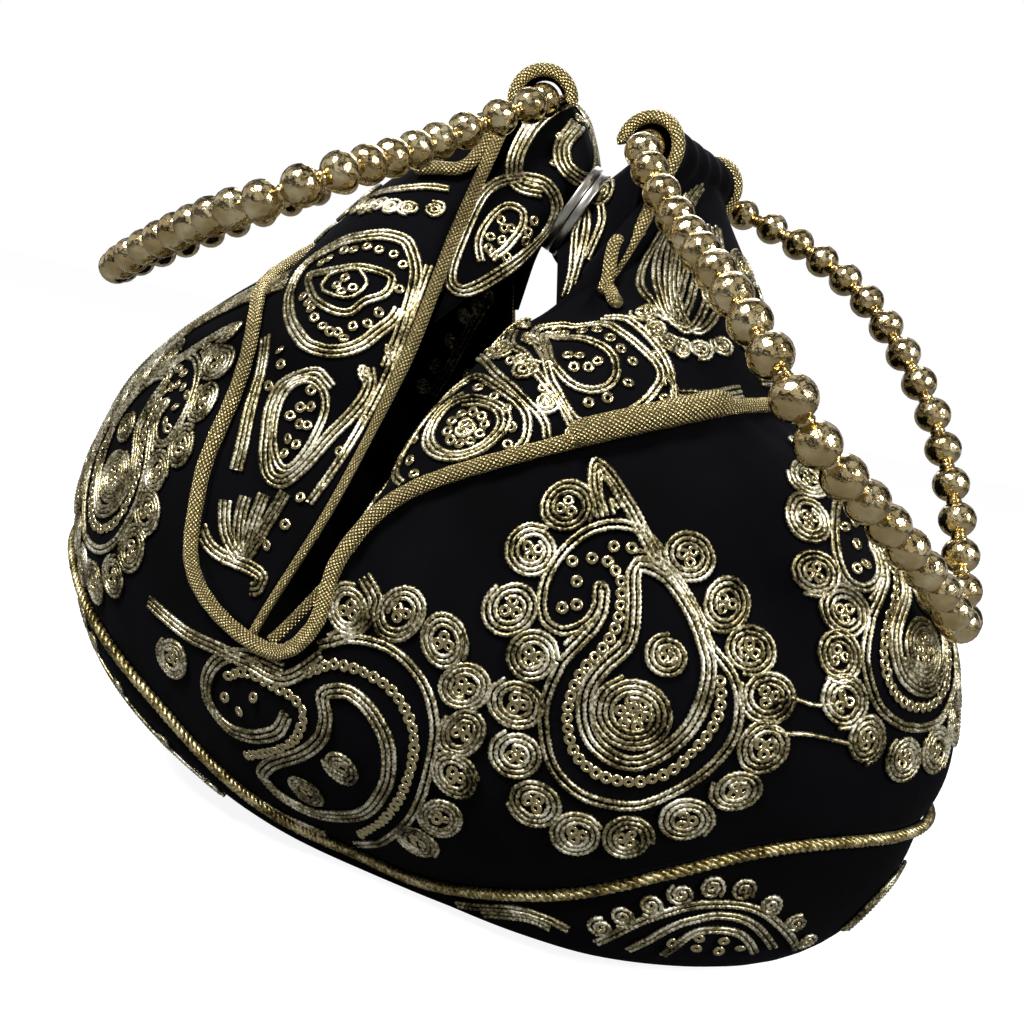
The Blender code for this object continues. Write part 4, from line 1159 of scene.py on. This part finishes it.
def left_yoke_embroidery():
    work = Work("left_yoke_embroidery")
    work.trail(left_face, [(0.060, 0.560), (0.067, 0.532), (0.089, 0.487), (0.111, 0.433), (0.144, 0.370),
                           (0.182, 0.309), (0.232, 0.236), (0.298, 0.161), (0.339, 0.142), (0.366, 0.173),
                           (0.361, 0.260), (0.329, 0.393), (0.268, 0.513), (0.200, 0.588), (0.139, 0.624),
                           (0.060, 0.630), (0.030, 0.560), (0.020, 0.480)], (0.0, 1.15, 2.3))
    work.trail(left_face, [(0.331, 0.231), (0.302, 0.324), (0.253, 0.427), (0.202, 0.498), (0.144, 0.551),
                           (0.130, 0.528), (0.163, 0.463), (0.179, 0.410), (0.218, 0.351), (0.281, 0.272)],
               (0.0, 1.15), closed=True)
    work.trail(left_face, [(0.240, 0.440), (0.220, 0.460), (0.190, 0.470), (0.200, 0.420), (0.240, 0.360),
                           (0.275, 0.320), (0.280, 0.350), (0.260, 0.400)], closed=True)
    work.sequins_at(left_face, [(0.277, 0.442), (0.250, 0.491), (0.218, 0.524), (0.140, 0.581), (0.208, 0.330),
                                (0.177, 0.371), (0.160, 0.413), (0.136, 0.454), (0.127, 0.490), (0.160, 0.385),
                                (0.110, 0.560), (0.277, 0.262), (0.259, 0.281), (0.300, 0.400), (0.190, 0.350),
                                (0.225, 0.395), (0.240, 0.410), (0.210, 0.430), (0.245, 0.380), (0.180, 0.560),
                                (0.320, 0.330), (0.330, 0.290), (0.300, 0.230), (0.235, 0.300)])
    work.trail(left_face, [(0.121, 0.343), (0.161, 0.313), (0.187, 0.257), (0.203, 0.195), (0.194, 0.167),
                           (0.172, 0.160), (0.147, 0.158), (0.119, 0.167), (0.095, 0.188), (0.083, 0.215),
                           (0.074, 0.256), (0.065, 0.311), (0.051, 0.359), (0.040, 0.403), (0.044, 0.433),
                           (0.069, 0.443)], (0.0, -1.1, -2.2))
    work.trail(left_face, [(0.179, 0.239), (0.177, 0.208), (0.158, 0.193), (0.127, 0.196), (0.106, 0.208),
                           (0.100, 0.241), (0.103, 0.275), (0.114, 0.306), (0.137, 0.307), (0.164, 0.279)],
               (0.0, 1.1), closed=True)
    work.sequins_at(left_face, [(0.151, 0.285), (0.134, 0.280), (0.153, 0.229), (0.132, 0.248), (0.133, 0.219),
                                (0.116, 0.234), (0.123, 0.208), (0.120, 0.265), (0.148, 0.255)])
    for q, s in ((0.455, 0.264), (0.409, 0.370), (0.370, 0.445), (0.330, 0.517), (0.228, 0.626), (0.145, 0.700),
                 (0.280, 0.575)):
        work.rosette(patch(left_yoke.face, q, s, 0.006, 0.006, left_flip), radius=2.7, coils=2, squash=0.8,
                     turn=rng.uniform(0, 3))
    work.trail(left_face, [(0.45, 0.33), (0.38, 0.50), (0.30, 0.62), (0.22, 0.70), (0.146, 0.755)], (0.0, 1.1))
    for q, s in ((0.081, 0.418), (0.044, 0.495)):
        work.rosette(patch(left_yoke.face, q, s, 0.006, 0.006, left_flip), radius=2.4, coils=2, squash=0.6)
    for fan in ([(0.083, 0.083), (0.121, 0.075), (0.150, 0.075)], [(0.082, 0.085), (0.109, 0.101), (0.129, 0.123)],
                [(0.078, 0.090), (0.094, 0.122), (0.109, 0.157)], [(0.074, 0.091), (0.079, 0.142), (0.084, 0.191)]):
        work.trail(left_face, fan, (0.0, 1.1, -1.1))
    work.trail(left_face, [(0.300, 0.090), (0.240, 0.120), (0.190, 0.125), (0.160, 0.110)], (0.0, 1.1, 2.2))
    work.sequins_at(left_face, [(0.095, 0.060), (0.060, 0.130), (0.055, 0.170), (0.060, 0.210), (0.040, 0.250),
                                (0.042, 0.310), (0.030, 0.380), (0.215, 0.160), (0.225, 0.190), (0.250, 0.170)])
    work.trail(left_face, [(0.150, 0.020), (0.118, 0.050), (0.086, 0.080), (0.057, 0.100), (0.030, 0.105),
                           (0.022, 0.080), (0.035, 0.065)], (0.0, 1.1, 2.2))
    work.trail(left_inner, [(0.075, 0.92), (0.018, 0.80), (0.010, 0.62), (0.020, 0.47), (0.095, 0.42),
                            (0.180, 0.47), (0.250, 0.66), (0.275, 0.86), (0.235, 0.97), (0.15, 0.97)],
               (0.0, -1.1, -2.2), closed=True)
    work.trail(left_inner, [(0.098, 0.83), (0.055, 0.67), (0.071, 0.56), (0.114, 0.53), (0.166, 0.61),
                            (0.190, 0.751), (0.172, 0.86), (0.14, 0.88)], (0.0, 1.1))
    work.sequins_at(left_inner, [(0.11, 0.62), (0.13, 0.68), (0.10, 0.70), (0.14, 0.76), (0.11, 0.77), (0.22, 0.88),
                                 (0.15, 0.70), (0.13, 0.82), (0.21, 0.80), (0.21, 0.72), (0.18, 0.92)])
    work.trail(left_inner, [(0.18, 0.44), (0.12, 0.40), (0.07, 0.30), (0.05, 0.18), (0.10, 0.08), (0.20, 0.05),
                            (0.32, 0.08), (0.42, 0.17), (0.42, 0.29), (0.33, 0.38), (0.25, 0.36), (0.21, 0.28),
                            (0.27, 0.21)], (0.0, -1.1, -2.2, -3.3))
    work.sequins_at(left_inner, [(0.20, 0.20), (0.24, 0.17), (0.29, 0.17), (0.16, 0.25), (0.18, 0.34)])
    for q, s in ((0.87, 0.45), (0.85, 0.36), (0.834, 0.277), (0.833, 0.185), (0.832, 0.104), (0.835, 0.030)):
        work.rosette(patch(left_yoke.face, q, s, 0.006, 0.006, not left_flip), radius=2.9, coils=2, squash=0.6,
                     lift=YOKE_CLOTH + 0.6)
    inside = laid(left_yoke.face, 0.006, 0.006, 1.0 if left_flip else -1.0)
    for line in ([(0.884, 0.476), (0.868, 0.400), (0.856, 0.311), (0.850, 0.186), (0.848, 0.060)],
                 [(0.800, 0.50), (0.795, 0.40), (0.790, 0.28), (0.790, 0.16), (0.790, 0.05)]):
        work.trail(inside, line, (0.0, 1.15, 2.3), lift=YOKE_CLOTH + 0.6)
    work.trail(left_face, [(0.034, 0.66), (0.024, 0.55), (0.016, 0.45), (0.022, 0.34), (0.035, 0.22)], (0.0, 1.1))
    for k in range(7):
        work.rosette(patch(left_yoke.face, 0.50 + 0.07 * k, 0.30 + 0.1 * (k % 2), 0.006, 0.006, left_flip))
    work.trail(left_face, [(0.44, 0.16), (0.60, 0.14), (0.80, 0.14), (0.93, 0.16)], (0.0, 1.15, 2.3))
    work.done(couched_gold)


left_yoke_embroidery()

# Embroidery on the right yoke
# The flap that falls forward has a drop in double lines and a large coil with sequins; lines frame both.
# Above it, behind the beads, hang long lines that turn up at the bottom over a row of small coils.
right_face, right_flip = signed(right_yoke.face, (0.6, 0.3), right_yoke.out)
right_inner, right_inner_flip = signed(right_yoke.inner, (0.5, 0.8), -SNAP_AXIS)


def right_yoke_embroidery():
    work = Work("right_yoke_embroidery")
    work.trail(right_face, [(0.200, 0.640), (0.261, 0.486), (0.280, 0.314), (0.294, 0.178), (0.306, 0.097),
                            (0.321, 0.077), (0.342, 0.104), (0.366, 0.157), (0.385, 0.219), (0.378, 0.328),
                            (0.365, 0.477), (0.340, 0.640), (0.260, 0.700)], (0.0, 1.15), closed=True)
    work.trail(right_face, [(0.230, 0.640), (0.281, 0.600), (0.317, 0.507), (0.337, 0.407), (0.338, 0.315),
                            (0.328, 0.235), (0.312, 0.230), (0.297, 0.286), (0.283, 0.392), (0.257, 0.553)],
               (0.0, -1.1), closed=True)
    work.sequins_at(right_face, [(0.240, 0.680), (0.285, 0.660), (0.330, 0.600), (0.345, 0.542), (0.353, 0.457),
                                 (0.295, 0.446), (0.309, 0.421), (0.314, 0.340), (0.325, 0.356), (0.300, 0.366),
                                 (0.310, 0.168), (0.325, 0.168), (0.345, 0.210), (0.359, 0.302), (0.356, 0.380)])
    work.rosette(patch(right_yoke.face, 0.193, 0.184, 0.006, 0.006, right_flip), radius=9.2, coils=3)
    swirl = patch(right_yoke.face, 0.193, 0.184, 0.006, 0.006, right_flip)
    for k in range(10):
        a = 2 * math.pi * k / 10
        work.sequin(swirl, 3.9 * math.cos(a), 3.9 * math.sin(a))
    work.rosette(swirl, radius=2.3, coils=1)
    for (q, s), r in (((0.174, 0.471), 3.4), ((0.239, 0.414), 3.2), ((0.150, 0.600), 2.2), ((0.275, 0.218), 2.8)):
        work.rosette(patch(right_yoke.face, q, s, 0.006, 0.006, right_flip), radius=r, coils=2, squash=0.85)
    work.trail(right_face, [(0.125, 0.050), (0.108, 0.150), (0.112, 0.240), (0.135, 0.320), (0.167, 0.374),
                            (0.201, 0.358), (0.237, 0.289), (0.262, 0.183), (0.269, 0.073), (0.262, 0.010)],
               (0.0, 1.15))
    work.trail(right_face, [(0.080, 0.10), (0.070, 0.25), (0.085, 0.38), (0.110, 0.50), (0.130, 0.62)], (0.0, 1.15))
    work.sequins_at(right_face, [(0.131, 0.285), (0.140, 0.330), (0.154, 0.350), (0.185, 0.335), (0.212, 0.299),
                                 (0.234, 0.237), (0.249, 0.146), (0.252, 0.070), (0.128, 0.130), (0.137, 0.070),
                                 (0.122, 0.200), (0.095, 0.20), (0.092, 0.12), (0.100, 0.28), (0.150, 0.500),
                                 (0.160, 0.440), (0.205, 0.445), (0.190, 0.580), (0.222, 0.600), (0.245, 0.545),
                                 (0.268, 0.300), (0.276, 0.250), (0.270, 0.420), (0.110, 0.400), (0.120, 0.460),
                                 (0.135, 0.540), (0.098, 0.340), (0.385, 0.120), (0.400, 0.180), (0.395, 0.300)])
    work.trail(right_face, [(0.400, 0.080), (0.412, 0.200), (0.405, 0.340), (0.392, 0.480), (0.370, 0.620)],
               (0.0, 1.15))
    work.trail(right_face, [(0.130, 0.440), (0.179, 0.417), (0.230, 0.345), (0.264, 0.220), (0.280, 0.130),
                            (0.285, 0.050)], (0.0, 1.15))
    work.trail(right_face, [(0.165, 0.560), (0.187, 0.509), (0.227, 0.487), (0.262, 0.380), (0.289, 0.200),
                            (0.300, 0.093)], (0.0, 1.15))
    for start, turn_at in ((0.43, 0.50), (0.455, 0.46), (0.48, 0.42), (0.505, 0.40)):
        work.trail(right_face, [(start, 0.93), (start + 0.004, 0.75), (start + 0.01, turn_at + 0.08),
                                (start + 0.035, turn_at - 0.06), (start + 0.075, turn_at - 0.03),
                                (start + 0.10, turn_at + 0.10), (start + 0.11, 0.72)], (0.0, 1.15))
    for q, s in ((0.425, 0.50), (0.430, 0.41), (0.460, 0.335), (0.500, 0.29), (0.545, 0.26), (0.59, 0.25),
                 (0.64, 0.26), (0.70, 0.27)):
        work.rosette(patch(right_yoke.face, q, s, 0.006, 0.006, right_flip), radius=3.0, coils=2, squash=0.85)
    work.trail(right_face, [(0.409, 0.22), (0.46, 0.15), (0.516, 0.125), (0.561, 0.10), (0.62, 0.10)],
               (0.0, 1.15, 2.3))
    for q, s in ((0.040, 0.30), (0.035, 0.44), (0.055, 0.55), (0.300, 0.040), (0.222, 0.455), (0.205, 0.560)):
        work.rosette(patch(right_yoke.face, q, s, 0.006, 0.006, right_flip), radius=2.4, coils=2, squash=0.8)
    for k in range(6):
        work.rosette(patch(right_yoke.face, 0.60 + 0.07 * k, 0.42 + 0.12 * (k % 2), 0.006, 0.006, right_flip))
    work.trail(right_face, [(0.66, 0.14), (0.78, 0.14), (0.90, 0.14), (0.97, 0.16)], (0.0, 1.15, 2.3))
    work.trail(right_inner, [(0.30, 0.66), (0.256, 0.74), (0.138, 0.83), (0.094, 0.90)], (0.0, 1.15))
    work.trail(right_inner, [(0.351, 0.560), (0.24, 0.60), (0.169, 0.70), (0.098, 0.831)], (0.0, 1.15))
    work.trail(right_inner, [(0.222, 0.457), (0.16, 0.51), (0.129, 0.62), (0.111, 0.70)], (0.0, 1.15))
    work.rosette(patch(right_yoke.inner, 0.29, 0.42, 0.006, 0.006, right_inner_flip), radius=4.0, coils=3, squash=0.8)
    work.done(couched_gold)


right_yoke_embroidery()

# Studio
# White card under and behind the bag, a large soft light above the camera and weaker ones at both sides.


def studio():
    mesh = bpy.data.meshes.new("floor_card")
    bm = bmesh.new()
    bmesh.ops.create_grid(bm, x_segments=1, y_segments=1, size=8.0)
    bm.to_mesh(mesh)
    bm.free()
    mat, tree, shader = finish_material("white_card", srgb("#6e6e6e"), 0.9)
    seen = add(tree, "ShaderNodeLightPath").outputs["Is Camera Ray"]
    lit = add(tree, "ShaderNodeBsdfDiffuse", Color=srgb("#a8a8a8"))
    glow = add(tree, "ShaderNodeEmission", Color=srgb("#ffffff"), Strength=0.9)
    white = add(tree, "ShaderNodeAddShader", {0: lit.outputs[0], 1: glow.outputs[0]})
    mix = add(tree, "ShaderNodeMixShader", {0: seen, 1: shader.outputs[0], 2: white.outputs[0]})
    tree.links.new(mix.outputs[0], tree.nodes["Material Output"].inputs["Surface"])
    floor = bpy.data.objects.new("floor_card", mesh)
    mesh.materials.append(mat)
    bpy.context.scene.collection.objects.link(floor)
    world = bpy.data.worlds.new("soft_room")
    world.use_nodes = True
    tree = world.node_tree
    tree.nodes.clear()
    ray = add(tree, "ShaderNodeLightPath")
    where = add(tree, "ShaderNodeTexCoord").outputs["Generated"]
    shapes = add(tree, "ShaderNodeTexNoise", {"Vector": where}, Scale=2.6, Detail=1.0)
    tone = ramp(tree, shapes.outputs["Fac"], [(0.44, srgb("#303030")), (0.56, srgb("#ffffff"))])
    room = add(tree, "ShaderNodeBackground", Color=srgb("#ffffff"), Strength=0.22)
    mirrored = add(tree, "ShaderNodeBackground", {"Color": tone}, Strength=0.75)
    white = add(tree, "ShaderNodeBackground", Color=srgb("#ffffff"), Strength=1.0)
    lit = add(tree, "ShaderNodeMixShader", {0: ray.outputs["Is Glossy Ray"], 1: room.outputs[0],
                                            2: mirrored.outputs[0]})
    mix = add(tree, "ShaderNodeMixShader", {0: ray.outputs["Is Camera Ray"], 1: lit.outputs[0],
                                            2: white.outputs[0]})
    add(tree, "ShaderNodeOutputWorld", {"Surface": mix.outputs[0]})
    bpy.context.scene.world = world
    bpy.context.scene.view_settings.view_transform = "Standard"
    for name, place, size, power in (("key", (-0.25, -0.55, 0.85), 0.32, 15.0), ("side", (0.8, -0.3, 0.6), 0.3, 8.0),
                                     ("back", (-0.3, 0.8, 0.7), 0.6, 6.0)):
        light = bpy.data.lights.new(name, "AREA")
        light.size = size
        light.energy = power
        lamp = bpy.data.objects.new(name, light)
        lamp.location = place
        aim = Vector((0, 0, 0.09)) - Vector(place)
        lamp.rotation_euler = aim.to_track_quat("-Z", "Y").to_euler()
        bpy.context.scene.collection.objects.link(lamp)


studio()


def camera():
    tilt, roll, pan = math.radians(8), math.radians(13), math.radians(18.7)
    right, down = Vector((1, 0, 0)), Vector((0, -math.sin(tilt), -math.cos(tilt)))
    ahead = Vector((0, math.cos(tilt), -math.sin(tilt)))
    across = right * math.cos(roll) - down * math.sin(roll)
    down = right * math.sin(roll) + down * math.cos(roll)
    turn = Matrix.Rotation(pan, 3, "Z")
    data = bpy.data.cameras.new("camera")
    data.lens = 36 * 1100 / 1024
    data.clip_start = 0.01
    cam = bpy.data.objects.new("camera", data)
    cam.rotation_mode = "QUATERNION"
    cam.location = (0.0882, -0.2527, 0.122)
    cam.rotation_quaternion = Matrix((turn @ across, turn @ -down, turn @ -ahead)).transposed().to_quaternion()
    bpy.context.scene.collection.objects.link(cam)
    bpy.context.scene.camera = cam


camera()
